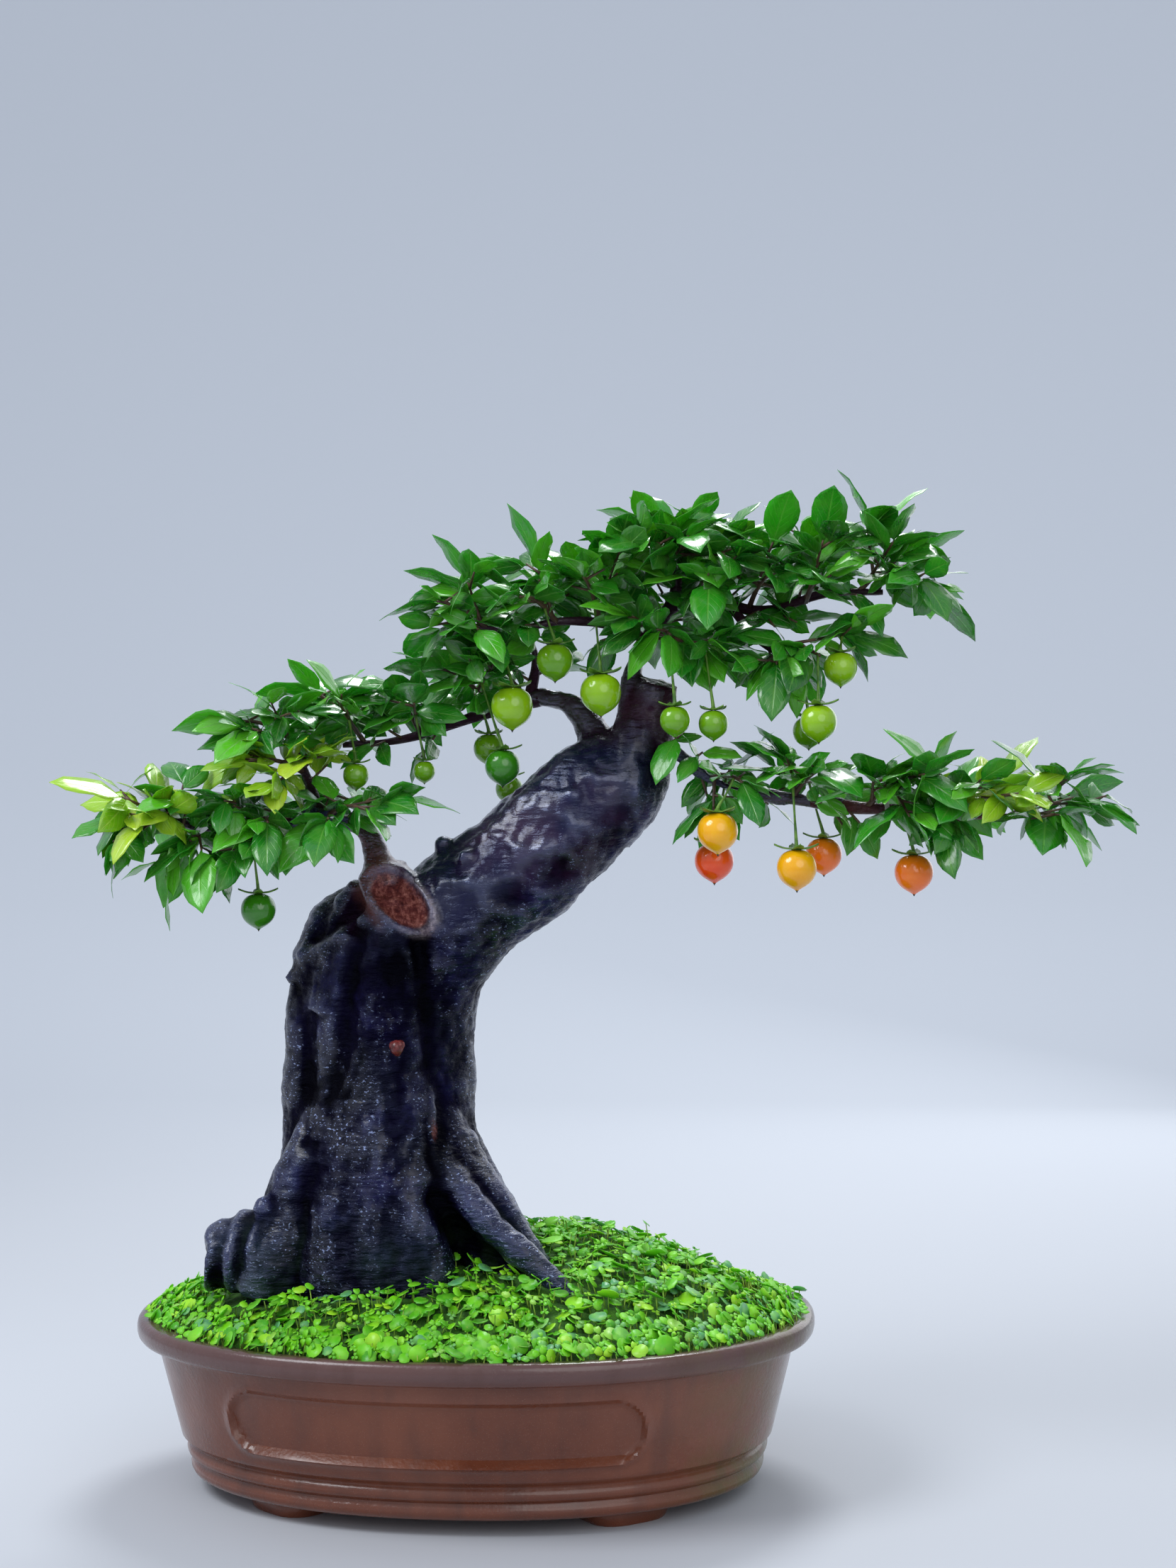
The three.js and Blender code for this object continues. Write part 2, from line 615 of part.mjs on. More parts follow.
function twigsOf(spray) {
  const stem = { root: v3(spray.root), tip: v3(spray.tips[0]), arch: stemArch };
  const twigs = [stem];
  spray.tips.slice(1).forEach((tip, i) => {
    const start = 0.12 + (0.6 * i) / (spray.tips.length - 1);
    twigs.push({ root: twigPoint(stem, start), tip: v3(tip), arch: 0 });
  });
  return twigs;
}

// A leaf's frame: along its rib, across it, and out of its face
function drawLeaf(twig, t, sign, lift, random) {
  const base = twigPoint(twig, t);
  const ahead = twigPoint(twig, Math.min(t + 0.05, 1));
  const behind = twigPoint(twig, Math.min(t + 0.05, 1) - 0.1);
  const forward = ahead.sub(behind).normalize();
  const side = forward.clone().cross(up).normalize();
  const length = leafShortest + leafSpread * random();
  const width = length * (0.4 + 0.1 * random());
  const swing = sign * (0.65 + 0.6 * random());
  const rise = lift + (random() - 0.5) * 0.7;
  const roll = (random() - 0.5) * 1.3;
  const droop = 0.1 + 0.22 * random();
  const along = forward.clone().multiplyScalar(Math.cos(swing))
    .addScaledVector(side, Math.sin(swing)).addScaledVector(up, rise).normalize();
  const upright = up.clone().addScaledVector(along, -up.dot(along)).normalize();
  const level = upright.clone().cross(along);
  const face = upright.clone().multiplyScalar(Math.cos(roll))
    .addScaledVector(level, Math.sin(roll));
  const across = face.clone().cross(along);
  return { base, along, across, face, length, width, droop };
}

// Place on a leaf: u runs from base to tip, v from one edge to the other
function leafPoint(leaf, u, v, lift = 0) {
  return leaf.base.clone()
    .addScaledVector(leaf.along, leaf.length * u)
    .addScaledVector(leaf.across, v * leaf.width)
    .addScaledVector(leaf.face, lift - leaf.droop * leaf.length * u * u);
}

// Blade: one point at its base and one at its tip, four edge points doubled by its thickness
const bladeEdge = [[0.3, 0.47], [0.62, 0.4], [0.62, -0.4], [0.3, -0.47]];
const bladeFaces = [
  [0, 2, 5], [2, 3, 4], [2, 4, 5], [3, 1, 4],
  [0, 9, 6], [6, 8, 7], [6, 9, 8], [7, 8, 1],
  [0, 6, 2], [2, 6, 7], [2, 7, 3], [3, 7, 1], [1, 8, 4], [4, 8, 9], [4, 9, 5], [5, 9, 0],
];
const leafProbes = [];
[0.3, 0.42, 0.54, 0.66, 0.78, 0.92].forEach((u) => {
  const reach = 0.42 * Math.min(1, (1 - u) * 2);
  leafProbes.push([u, -reach], [u, 0], [u, reach]);
});

function leafSolid(leaf, swell = 0) {
  const half = bladeThickness / 2 + swell;
  const points = [leafPoint(leaf, 0, 0), leafPoint(leaf, 1, 0)];
  [half, -half].forEach((lift) => bladeEdge.forEach(([u, v]) => {
    points.push(leafPoint(leaf, u, v, lift));
  }));
  return makeSolid(points.map((p) => p.toArray()), bladeFaces.flat());
}

function distanceToSegment(point, a, b) {
  const run = b.clone().sub(a);
  const share = run.lengthSq() === 0 ? 0
    : THREE.MathUtils.clamp(point.clone().sub(a).dot(run) / run.lengthSq(), 0, 1);
  return point.distanceTo(a.clone().addScaledVector(run, share));
}

// Leaves are drawn one by one, and a draw that would meet something is drawn again
function growLeaves(plan, obstacles, seed) {
  const random = makeRandom(seed);
  const grown = [];
  const fits = (leaf, twig) => {
    leaf.probes = leafProbes.map(([u, v]) => leafPoint(leaf, u, v));
    leaf.centre = leafPoint(leaf, 0.5, 0);
    return grown.every((other) => {
      if (other.centre.distanceTo(leaf.centre) > 0.55 * (other.length + leaf.length)) return true;
      return other.probes.every((p) => leaf.probes.every((q) => p.distanceTo(q) > leafGap));
    }) && obstacles.every((o) => {
      if (o.owner === twig) return true;
      const reach = leaf.length * 0.6 + o.radius;
      if (distanceToSegment(leaf.centre, o.a, o.b) > reach) return true;
      return leaf.probes.every((p) => distanceToSegment(p, o.a, o.b) > o.radius);
    });
  };
  Object.entries(plan).forEach(([name, spray]) => {
    spray.twigs.forEach((twig) => {
      const length = twig.root.distanceTo(twig.tip);
      const count = 1 + Math.round((0.72 * length) / leafStep);
      for (let i = 0; i < count; i += 1) {
        const t = 0.97 - (0.72 * i) / count;
        const sign = i === 0 ? 0.15 : (i % 2) * 2 - 1;
        for (let attempt = 0; attempt < leafTries; attempt += 1) {
          const leaf = drawLeaf(twig, t, sign, spray.lift, random);
          if (fits(leaf, twig)) {
            leaf.spray = name;
            grown.push(leaf);
            break;
          }
        }
      }
    });
  });
  return grown;
}

// Fruit: round, with a shallow top and a short point below
function fruitSolid(fruit) {
  const r = fruit.size / 2;
  const profile = [[0, -1.1], [0.7, -0.72], [1, 0.02], [0.68, 0.74], [0, fruitTop]];
  const geometry = new THREE.LatheGeometry(
    profile.map(([x, y]) => new THREE.Vector2(x * r, y * r)), 8);
  geometry.rotateX(Math.PI / 2);
  geometry.translate(...fruit.at);
  return geometryToSolid(geometry);
}

// Four-lobed star on the fruit's top, its lobes bent back upwards, and the stalk out of it
function calyxSolid(fruit, top) {
  const r = fruit.size / 2;
  const [x, y, z] = fruit.at;
  const seat = z + fruitTop * r + clearance + 0.1;
  const turned = fruit.at[0] * 0.1;
  const star = (lift) => Array.from({ length: 8 }, (_, k) => {
    const lobe = k % 2 === 0;
    const reach = lobe ? 0.95 * r : 0.34 * r;
    const turn = turned + (k * Math.PI) / 4;
    return [x + reach * Math.cos(turn), y + reach * Math.sin(turn),
      seat + lift + (lobe ? 0.22 * r : 0)];
  });
  const square = (place) => Array.from({ length: 4 }, (_, k) => {
    const turn = turned + (k * Math.PI) / 2;
    return [place[0] + stalkRadius * Math.cos(turn), place[1] + stalkRadius * Math.sin(turn),
      place[2]];
  });
  const points = [[x, y, seat], ...star(0), ...star(0.8), ...square([x, y, seat + 1.6]),
    ...square(top.toArray())];
  const [low, high, neck, end] = [1, 9, 17, 21];
  const triangles = [end, end + 1, end + 2, end, end + 2, end + 3];
  for (let k = 0; k < 8; k += 1) {
    const next = (k + 1) % 8;
    triangles.push(0, low + next, low + k, low + k, low + next, high + next);
    triangles.push(low + k, high + next, high + k);
    triangles.push(high + k, high + next, neck + (Math.ceil(k / 2) % 4));
  }
  for (let j = 0; j < 4; j += 1) {
    const next = (j + 1) % 4;
    triangles.push(high + 2 * j + 1, neck + next, neck + j);
    triangles.push(neck + j, neck + next, end + next, neck + j, end + next, end + j);
  }
  return makeSolid(points, triangles);
}

// The stalk rises from the calyx to the nearest place on its spray's twigs
function stalkRun(fruit, twigs) {
  const [x, y, z] = fruit.at;
  const foot3 = new THREE.Vector3(x, y, z + fruitTop * (fruit.size / 2) + 1.2);
  const wanted = new THREE.Vector3(x, y, foot3.z + fruit.stalk);
  let best = null;
  twigs.forEach((twig) => {
    for (let k = 6; k <= 19; k += 1) {
      const place = twigPoint(twig, k / 20);
      const far = place.distanceTo(wanted);
      if (!best || far < best.far) best = { far, place };
    }
  });
  return [foot3, best.place];
}

const runWithRadius = (places, radii) => places.map((p, i) => [p.x, p.y, p.z, radii[i]]);

function twigSolid(twig, order) {
  if (order > 0) {
    return tube(runWithRadius([twig.root, twig.tip], [twigRadius, twigTipRadius]), 3);
  }
  const places = [0, 0.5, 1].map((t) => twigPoint(twig, t));
  return tube(runWithRadius(places, [stemRadius, stemRadius * 0.9, twigTipRadius]), 4);
}

function planSprays() {
  const plan = {};
  Object.entries({ ...sprays, ...youngSprays }).forEach(([name, spray]) => {
    plan[name] = { ...spray, twigs: twigsOf(spray), young: name in youngSprays, stalks: [],
      calyxes: [] };
  });
  fruits.forEach((fruit) => {
    const spray = plan[fruit.spray];
    spray.stalks.push(stalkRun(fruit, spray.twigs));
    spray.calyxes.push(fruit);
  });
  return plan;
}

// What leaves keep clear of: wood, fruits, their stalks and every twig but their own
function listObstacles(plan) {
  const found = [];
  Object.values({ ...strands, ...branches }).forEach((points) => {
    for (let i = 0; i + 1 < points.length; i += 1) {
      const radius = Math.max(points[i][3], points[i + 1][3]) + 1;
      found.push({ a: v3(points[i]), b: v3(points[i + 1]), radius });
    }
  });
  fruits.forEach((fruit) => {
    found.push({ a: v3(fruit.at), b: v3(fruit.at), radius: fruit.size * 0.62 + 1.5 });
  });
  Object.values(plan).forEach((spray) => {
    spray.stalks.forEach((run) => found.push({ a: run[0], b: run[1], radius: 2 }));
    spray.twigs.forEach((twig) => {
      const places = [0, 0.5, 1].map((t) => twigPoint(twig, t));
      found.push({ a: places[0], b: places[1], radius: 2.4, owner: twig });
      found.push({ a: places[1], b: places[2], radius: 2.2, owner: twig });
    });
  });
  return found;
}

const overlap = (a, b) => a.intersect(b).volume() > 1e-4;

// Each spray is one body; a leaf that would meet another spray or a fruit is left out
function growSprays(wood, fruitSolids) {
  const plan = planSprays();
  const leaves = growLeaves(plan, listObstacles(plan), 9137);
  const frames = {};
  Object.entries(plan).forEach(([name, spray]) => {
    frames[name] = joinAll([
      ...spray.twigs.map(twigSolid),
      ...spray.calyxes.map((fruit, i) => calyxSolid(fruit, spray.stalks[i][1])),
    ]);
  });
  const kept = [];
  const solids = {};
  const near = (a, b) => a.centre.distanceTo(b.centre) < 0.6 * (a.length + b.length);
  leaves.forEach((leaf) => {
    const wide = leafSolid(leaf, 0.45);
    const crossesLeaf = kept.some((k) => k.leaf.spray !== leaf.spray && near(k.leaf, leaf)
      && overlap(wide, k.solid));
    const crossesFrame = Object.entries(frames).some(([name, frame]) => name !== leaf.spray
      && overlap(wide, frame));
    if (crossesLeaf || crossesFrame || fruitSolids.some((f) => overlap(wide, f))) return;
    kept.push({ leaf, solid: leafSolid(leaf) });
  });
  Object.keys(plan).forEach((name) => {
    const own = kept.filter((k) => k.leaf.spray === name).map((k) => k.solid);
    solids[name] = largestBody(joinAll([frames[name], ...own]).subtract(wood));
  });
  return { plan, solids };
}

// Round leaves of the cover, thrown at random wherever no other leaf or wood is in the way
function placeCoverLeaves(random) {
  const placed = [];
  for (let i = 0; i < coverTries; i += 1) {
    const turn = random() * Math.PI * 2;
    const share = 0.2 + 0.75 * Math.sqrt(random());
    const radius = coverLeafRadius * (0.8 + 0.4 * random());
    const tilt = 0.35 * random();
    const lean = random() * Math.PI * 2;
    const spare = 2.5 * random();
    const [x, y] = ovalPoint(turn, rimWidth, 0).map((v) => v * share);
    const ground = Math.max(soilHeight(x, y), soilEdge) + coverThickness;
    const z = Math.max(ground + coverLeafRise, rimTop + 3) + spare;
    const centre = new THREE.Vector3(x, y, z);
    const sweep = ((turn - coverTurn) / (Math.PI * 2)) * coverSectors;
    const border = Math.abs(sweep - Math.round(sweep)) * share;
    const clear = border > 0.03
      && placed.every((o) => Math.hypot(o.x - x, o.y - y) > (o.radius + radius) * 0.98)
      && Object.values(strands).every((points) => points.slice(1).every((p, k) =>
        distanceToSegment(centre, v3(points[k]), v3(p)) > Math.max(p[3], points[k][3]) + 5));
    if (!clear) continue;
    const sector = (Math.floor(sweep) + coverSectors) % coverSectors;
    placed.push({ x, y, z, ground, radius, tilt, lean, sector });
  }
  return placed;
}

// A round leaf held up on its stem, as one funnel that starts in the mat
function coverLeafSolid(leaf) {
  const rise = Math.tan(leaf.tilt) * Math.cos(leaf.lean);
  const rim = Array.from({ length: coverLeafSides }, (_, k) => {
    const turn = (k / coverLeafSides) * Math.PI * 2 + leaf.lean;
    const dx = leaf.radius * Math.cos(turn);
    return [leaf.x + dx, leaf.y + leaf.radius * Math.sin(turn), leaf.z + dx * rise];
  });
  const triangles = [];
  for (let k = 0; k < coverLeafSides; k += 1) {
    triangles.push(0, 1 + ((k + 1) % coverLeafSides), 1 + k);
    if (k > 1) triangles.push(1, k, k + 1);
  }
  return makeSolid([[leaf.x, leaf.y, leaf.ground - 1.5], ...rim], triangles);
}

// A patch of low cover: a thin mat on the soil, with round leaves standing out of it
function coverSolid(sector, leaves, woodGuard) {
  const from = coverTurn + (sector / coverSectors) * Math.PI * 2;
  const sweep = (Math.PI * 2) / coverSectors;
  const gapTurn = 0.004;
  const top = [];
  const low = [];
  [...soilRings].reverse().concat(coverEdge).forEach((share) => {
    for (let j = 0; j <= coverSteps; j += 1) {
      const turn = from + gapTurn + ((sweep - 2 * gapTurn) * j) / coverSteps;
      const [x, y] = ovalPoint(turn, rimWidth, 0).map((v) => v * share);
      const ground = Math.max(soilHeight(x, y), soilEdge);
      top.push([x, y, ground + coverThickness]);
      low.push([x, y, ground + coverLift]);
    }
  });
  const across = coverSteps + 1;
  const rows = soilRings.length + 1;
  const triangles = [];
  const quad = (a, b, c, d) => triangles.push(a, b, c, a, c, d);
  const shift = top.length;
  for (let i = 0; i + 1 < rows; i += 1) {
    for (let j = 0; j < coverSteps; j += 1) {
      const a = i * across + j;
      const c = a + shift;
      quad(a + across, a + across + 1, a + 1, a);
      quad(c + 1, c + across + 1, c + across, c);
    }
    const a = i * across;
    const b = a + coverSteps;
    quad(a, a + shift, a + across + shift, a + across);
    quad(b, b + across, b + across + shift, b + shift);
  }
  const outer = (rows - 1) * across;
  for (let j = 0; j < coverSteps; j += 1) {
    quad(j, j + 1, j + 1 + shift, j + shift);
    quad(outer + j, outer + j + shift, outer + j + 1 + shift, outer + j + 1);
  }
  const own = leaves.filter((leaf) => leaf.sector === sector).map(coverLeafSolid);
  return joinAll([makeSolid([...top, ...low], triangles), ...own]).subtract(woodGuard);
}

function tieSolid() {
  const ring = new THREE.TorusGeometry(tie.radius, tie.thickness, 3, 8);
  ring.rotateY(Math.PI / 2);
  ring.translate(...tie.at);
  return geometryToSolid(ring);
}

function buildTree() {
  const group = new THREE.Group();
  const add = (solid, name, material) => group.add(solidToMesh(solid, name, material));
  const wood = woodSolid();
  const woodGuard = woodSolid(clearance);
  const pot = potSolid();
  add(pot, 'pot', finish(colours.pot, 0.35));
  add(soilSolid(trunkHole(wood)), 'soil', finish(colours.soil, 0.95));
  add(screenSolid(-1), 'drain_screen_left', finish(colours.screen, 0.7));
  add(screenSolid(1), 'drain_screen_right', finish(colours.screen, 0.7));
  add(wood, 'trunk', finish(colours.wood, 0.5));
  const fruitSolids = fruits.map(fruitSolid);
  const { plan, solids } = growSprays(woodGuard, fruitSolids);
  Object.entries(solids).forEach(([name, solid]) => {
    const colour = plan[name].young ? colours.young : colours.leaf;
    add(solid, `spray_${name}`, finish(colour, 0.35));
  });
  fruitSolids.forEach((solid, i) => {
    add(solid, `fruit_${i + 1}`, finish(fruits[i].colour, 0.25));
  });
  const coverLeaves = placeCoverLeaves(makeRandom(4021));
  for (let i = 0; i < coverSectors; i += 1) {
    const patch = coverSolid(i, coverLeaves, woodGuard);
    add(largestBody(patch), `cover_${i + 1}`, finish(colours.cover, 0.6));
  }
  add(tieSolid(), 'thread_tie', finish(colours.thread, 0.8));
  return group;
}

// Puts the origin under the middle of the whole piece, on the surface that it stands on
function centre(group) {
  const bounds = new THREE.Box3().setFromObject(group);
  const middle = bounds.getCenter(new THREE.Vector3());
  group.position.set(-middle.x, -middle.y, -bounds.min.z);
  group.updateMatrixWorld(true);
  return group;
}

export default centre(buildTree());
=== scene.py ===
import math
import bpy
import numpy as np
from mathutils import Matrix, Vector, noise


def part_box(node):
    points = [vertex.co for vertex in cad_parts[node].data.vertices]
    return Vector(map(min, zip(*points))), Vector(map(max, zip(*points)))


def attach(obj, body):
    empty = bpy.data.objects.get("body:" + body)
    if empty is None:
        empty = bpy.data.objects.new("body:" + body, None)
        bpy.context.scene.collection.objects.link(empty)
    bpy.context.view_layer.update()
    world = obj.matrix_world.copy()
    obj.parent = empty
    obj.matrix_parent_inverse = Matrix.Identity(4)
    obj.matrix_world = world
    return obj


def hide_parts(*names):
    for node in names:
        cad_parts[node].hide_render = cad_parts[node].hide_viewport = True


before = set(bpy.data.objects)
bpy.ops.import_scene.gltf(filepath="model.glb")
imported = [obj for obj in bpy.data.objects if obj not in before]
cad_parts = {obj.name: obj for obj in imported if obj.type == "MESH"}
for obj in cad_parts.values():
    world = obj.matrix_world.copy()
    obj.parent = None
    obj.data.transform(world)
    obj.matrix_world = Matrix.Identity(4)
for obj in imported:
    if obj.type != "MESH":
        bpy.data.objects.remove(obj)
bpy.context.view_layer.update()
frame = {"nodes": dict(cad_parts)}
mm = 0.001
potLow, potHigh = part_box("pot")
potMiddle = Vector(((potLow.x + potHigh.x) / 2, (potLow.y + potHigh.y) / 2, 0))


def place(x, y, z):
    return Vector((x * mm, y * mm, z * mm)) + potMiddle  # pot millimetres to metres


# Camera, floor and lights

cameraView = {
    "place": (221.6, -1240.9, 363.0),
    "right": (0.991915, 0.126411, -0.011170),
    "up": (0.011610, -0.002743, 0.999929),
    "forward": (-0.126371, 0.991974, 0.004189),
    "lens": 54.1,
}
lights = {
    "window": {"at": (-800, -600, 1300), "size": 0.8, "power": 13, "tint": (0.93, 0.96, 1.0)},
    "front": {"at": (700, -1300, 900), "size": 1.2, "power": 5, "tint": (1.0, 0.99, 0.97)},
    "above": {"at": (100, 750, 1350), "size": 0.55, "power": 10, "tint": (0.95, 0.98, 1.0)},
    "behind": {"at": (600, 1200, 800), "size": 1.3, "power": 4, "tint": (1.0, 1.0, 1.0)},
}
studio = {
    "lightsMeet": (40, 0, 260), "sky": (0.72, 0.77, 0.86, 1), "skyStrength": 0.75,
    "floorNearPaintedShade": (0.50, 0.52, 0.56, 1), "floorFarPaintedLight": (0.80, 0.84, 0.90, 1), "floorSize": 12,
    "sweepStart": 1.6, "sweepTop": 4.0, "toneFrom": 0.4, "toneTo": 2.2,
}


def makeCamera():
    data = bpy.data.cameras.new("photo_camera")
    data.lens = cameraView["lens"]
    data.sensor_width = 36
    data.clip_end = 20
    camera = bpy.data.objects.new("photo_camera", data)
    bpy.context.collection.objects.link(camera)
    right, up, ahead = (Vector(cameraView[k]) for k in ("right", "up", "forward"))
    turn = Matrix((right, up, -ahead)).transposed().to_4x4()
    camera.matrix_world = Matrix.Translation(place(*cameraView["place"])) @ turn
    bpy.context.scene.camera = camera


def makeLights():
    target = place(*studio["lightsMeet"])
    for name, values in lights.items():
        data = bpy.data.lights.new(name, "AREA")
        data.shape = "DISK"
        data.size = values["size"]
        data.energy = values["power"]
        data.color = values["tint"]
        lamp = bpy.data.objects.new(name, data)
        bpy.context.collection.objects.link(lamp)
        lamp.location = place(*values["at"])
        lamp.rotation_euler = (target - lamp.location).to_track_quat("-Z", "Y").to_euler()
    world = bpy.data.worlds.new("studio")
    world.use_nodes = True
    sky = world.node_tree.nodes["Background"]
    sky.inputs["Color"].default_value = studio["sky"]
    sky.inputs["Strength"].default_value = studio["skyStrength"]
    bpy.context.scene.world = world
    bpy.context.scene.view_settings.view_transform = "Standard"


def makeFloor():
    deselectAll()
    bpy.ops.mesh.primitive_grid_add(x_subdivisions=4, y_subdivisions=24,
                                    size=studio["floorSize"])
    floor = bpy.context.object
    floor.name = "studio_floor"
    for vertex in floor.data.vertices:  # swept up behind, as a paper roll
        over = max(0.0, vertex.co.y - studio["sweepStart"])
        vertex.co.z = min(studio["sweepTop"], 0.9 * over ** 1.6)
    finishMesh(floor)
    paper = newFinish("pale_paper")
    # Painted light and shade: the paper is darker near the pot, where the lamps fall strongest, and
    # paler up the sweep behind
    far = span(paper, axisOf(paper, "Y"), studio["toneFrom"], studio["toneTo"])
    feed(paper, "Base Color", blendTones(paper, far, studio["floorNearPaintedShade"], studio["floorFarPaintedLight"]))
    feed(paper, "Roughness", 0.9)
    dress(floor, paper)
    print("camera, lights and floor made")


# Small helpers

def deselectAll():
    for obj in list(bpy.context.selected_objects):
        obj.select_set(False)


def activate(obj, *others):
    deselectAll()
    for each in (obj, *others):
        each.select_set(True)
    bpy.context.view_layer.objects.active = obj


def finishMesh(obj):
    activate(obj)
    bpy.ops.object.transform_apply(location=True, rotation=True, scale=True)
    bpy.ops.object.shade_smooth()


def applyModifier(obj, kind, **values):
    activate(obj)
    bpy.ops.object.modifier_add(type=kind)
    modifier = obj.modifiers[-1]
    for key, value in values.items():
        setattr(modifier, key, value)
    bpy.ops.object.modifier_apply(modifier=modifier.name)


def joinPieces(pieces, name):
    activate(pieces[0], *pieces[1:])
    if len(pieces) > 1:
        bpy.ops.object.join()
    joined = bpy.context.view_layer.objects.active
    joined.name = name
    joined.data.name = name
    return joined


def editMesh(obj, mode="FACE"):
    activate(obj)
    bpy.ops.object.mode_set(mode="EDIT")
    bpy.ops.mesh.select_mode(type=mode)


def leaveEdit():
    bpy.ops.object.mode_set(mode="OBJECT")


def mendNormals(obj, distance=0.00001):
    editMesh(obj)
    bpy.ops.mesh.select_all(action="SELECT")
    bpy.ops.mesh.remove_doubles(threshold=distance)
    bpy.ops.mesh.normals_make_consistent(inside=False)
    leaveEdit()


def readPoints(mesh):
    points = np.zeros(len(mesh.vertices) * 3)
    mesh.vertices.foreach_get("co", points)
    return points.reshape(-1, 3)


def writePoints(mesh, points):
    mesh.vertices.foreach_set("co", points.ravel())
    mesh.update()


def localPoints(mesh):  # in pot millimetres
    return (readPoints(mesh) - np.array(potMiddle)) / mm


def fade(values, start, end):  # 0 at start, 1 at end, and never past them
    return np.clip((values - start) / (end - start), 0, 1)


def dress(piece, finish):
    piece.data.materials.clear()
    piece.data.materials.append(finish["material"])


def setShare(mesh, name, values):  # a number on every point, read by the finishes
    share = mesh.attributes.get(name) or mesh.attributes.new(name, "FLOAT", "POINT")
    share.data.foreach_set("value", np.broadcast_to(values, len(mesh.vertices)).astype(float))


def addCopy(name, mesh, places, tone):  # places in pot millimetres
    writePoints(mesh, places * mm + np.array(potMiddle))
    setShare(mesh, "tone", tone)
    copy = bpy.data.objects.new(name, mesh)
    bpy.context.collection.objects.link(copy)
    return copy


def settle(piece, slot, *nodes):
    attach(piece, "root")
    if nodes:
        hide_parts(*nodes)


# A round tube along each run of points (x, y, z, radius), all in pot millimetres
def tubes(name, runs, roundness=4, steps=6):
    data = bpy.data.curves.new(name, "CURVE")
    data.dimensions = "3D"
    data.bevel_depth = mm
    data.bevel_resolution = roundness
    data.resolution_u = steps
    data.use_fill_caps = True
    for run in runs:
        spline = data.splines.new("BEZIER")
        spline.bezier_points.add(len(run) - 1)
        for point, (x, y, z, radius) in zip(spline.bezier_points, run):
            point.co = place(x, y, z)
            point.radius = radius
            point.handle_left_type = point.handle_right_type = "AUTO"
    obj = bpy.data.objects.new(name, data)
    bpy.context.collection.objects.link(obj)
    activate(obj)
    bpy.ops.object.convert(target="MESH")
    mendNormals(bpy.context.object)
    return bpy.context.object


# Finishes: a material, its node tree and its main shader

def newFinish(name):
    material = bpy.data.materials.new(name)
    material.use_nodes = True
    return {"material": material, "tree": material.node_tree,
            "shader": material.node_tree.nodes["Principled BSDF"]}


def connect(finish, node, key, value):
    if isinstance(value, bpy.types.NodeSocket):
        finish["tree"].links.new(value, node.inputs[key])
    else:
        node.inputs[key].default_value = value


def addNode(finish, kind, sockets=None, **settings):
    made = finish["tree"].nodes.new("ShaderNode" + kind)
    for key, value in settings.items():
        setattr(made, key, value)
    for key, value in (sockets or {}).items():
        connect(finish, made, key, value)
    if kind in ("TexVoronoi", "TexWave"):
        connect(finish, made, "Vector", objectPlace(finish))
    return made


def objectPlace(finish, scale=(1, 1, 1)):
    coordinate = finish["tree"].nodes.new("ShaderNodeTexCoord")
    if scale == (1, 1, 1):
        return coordinate.outputs["Object"]
    mapping = finish["tree"].nodes.new("ShaderNodeMapping")
    mapping.inputs["Scale"].default_value = scale
    finish["tree"].links.new(coordinate.outputs["Object"], mapping.inputs["Vector"])
    return mapping.outputs["Vector"]


def feed(finish, key, value):
    connect(finish, finish["shader"], key, value)


def ramp(finish, share, stops):
    made = addNode(finish, "ValToRGB", {"Fac": share})
    row = made.color_ramp.elements
    while len(row) < len(stops):
        row.new(0.5)
    for element, (at, colour) in zip(row, stops):
        element.position = at
        element.color = colour if not isinstance(colour, (int, float)) else (colour,) * 3 + (1,)
    return made.outputs["Color"]


def blendTones(finish, share, low, high):
    made = addNode(finish, "Mix", data_type="RGBA", blend_type="MIX")
    for index, value in ((0, share), (6, low), (7, high)):
        connect(finish, made, index, value)
    return made.outputs[2]


def maths(finish, way, a, b=0, clamp=False):
    made = addNode(finish, "Math", {0: a, 1: b}, operation=way, use_clamp=clamp)
    return made.outputs[0]


def times(finish, a, b, clamp=False):
    return maths(finish, "MULTIPLY", a, b, clamp)


def plus(finish, a, b):
    return maths(finish, "ADD", a, b)


def minus(finish, a, b):
    return maths(finish, "SUBTRACT", a, b)


def relief(finish, height, distance, strength):
    made = addNode(finish, "Bump", {"Height": height, "Strength": strength, "Distance": distance})
    feed(finish, "Normal", made.outputs["Normal"])


def cloudOf(finish, scale, detail, roughness=0.5, stretch=(1, 1, 1)):
    made = addNode(finish, "TexNoise", {
        "Vector": objectPlace(finish, stretch), "Scale": scale, "Detail": detail,
        "Roughness": roughness})
    return made.outputs["Fac"]


def glow(finish, weight, radius, scale):  # light that passes through thin or soft skin
    feed(finish, "Subsurface Weight", weight)
    feed(finish, "Subsurface Radius", radius)
    feed(finish, "Subsurface Scale", scale)


def shareOf(finish, name):
    return addNode(finish, "Attribute", attribute_name=name).outputs["Fac"]


def axisOf(finish, axis):
    split = addNode(finish, "SeparateXYZ", {"Vector": objectPlace(finish)})
    return split.outputs[axis]


def span(finish, value, low, high):  # 0 at low, 1 at high
    made = addNode(finish, "MapRange", {"Value": value, "From Min": low, "From Max": high},
                   interpolation_type="SMOOTHSTEP")
    return made.outputs["Result"]


# Tones in clouds, one roughness and the clouds' own relief
def mottledFinish(name, scale, tones, rough, bumps, detail=4.0, roughness=0.5):
    finish = newFinish(name)
    cloud = cloudOf(finish, scale, detail, roughness)
    feed(finish, "Base Color", ramp(finish, cloud, tones))
    feed(finish, "Roughness", rough)
    if bumps:
        relief(finish, cloud, *bumps)
    return finish


# Pot: oval rings drawn up from the base to the rim, then down the inside

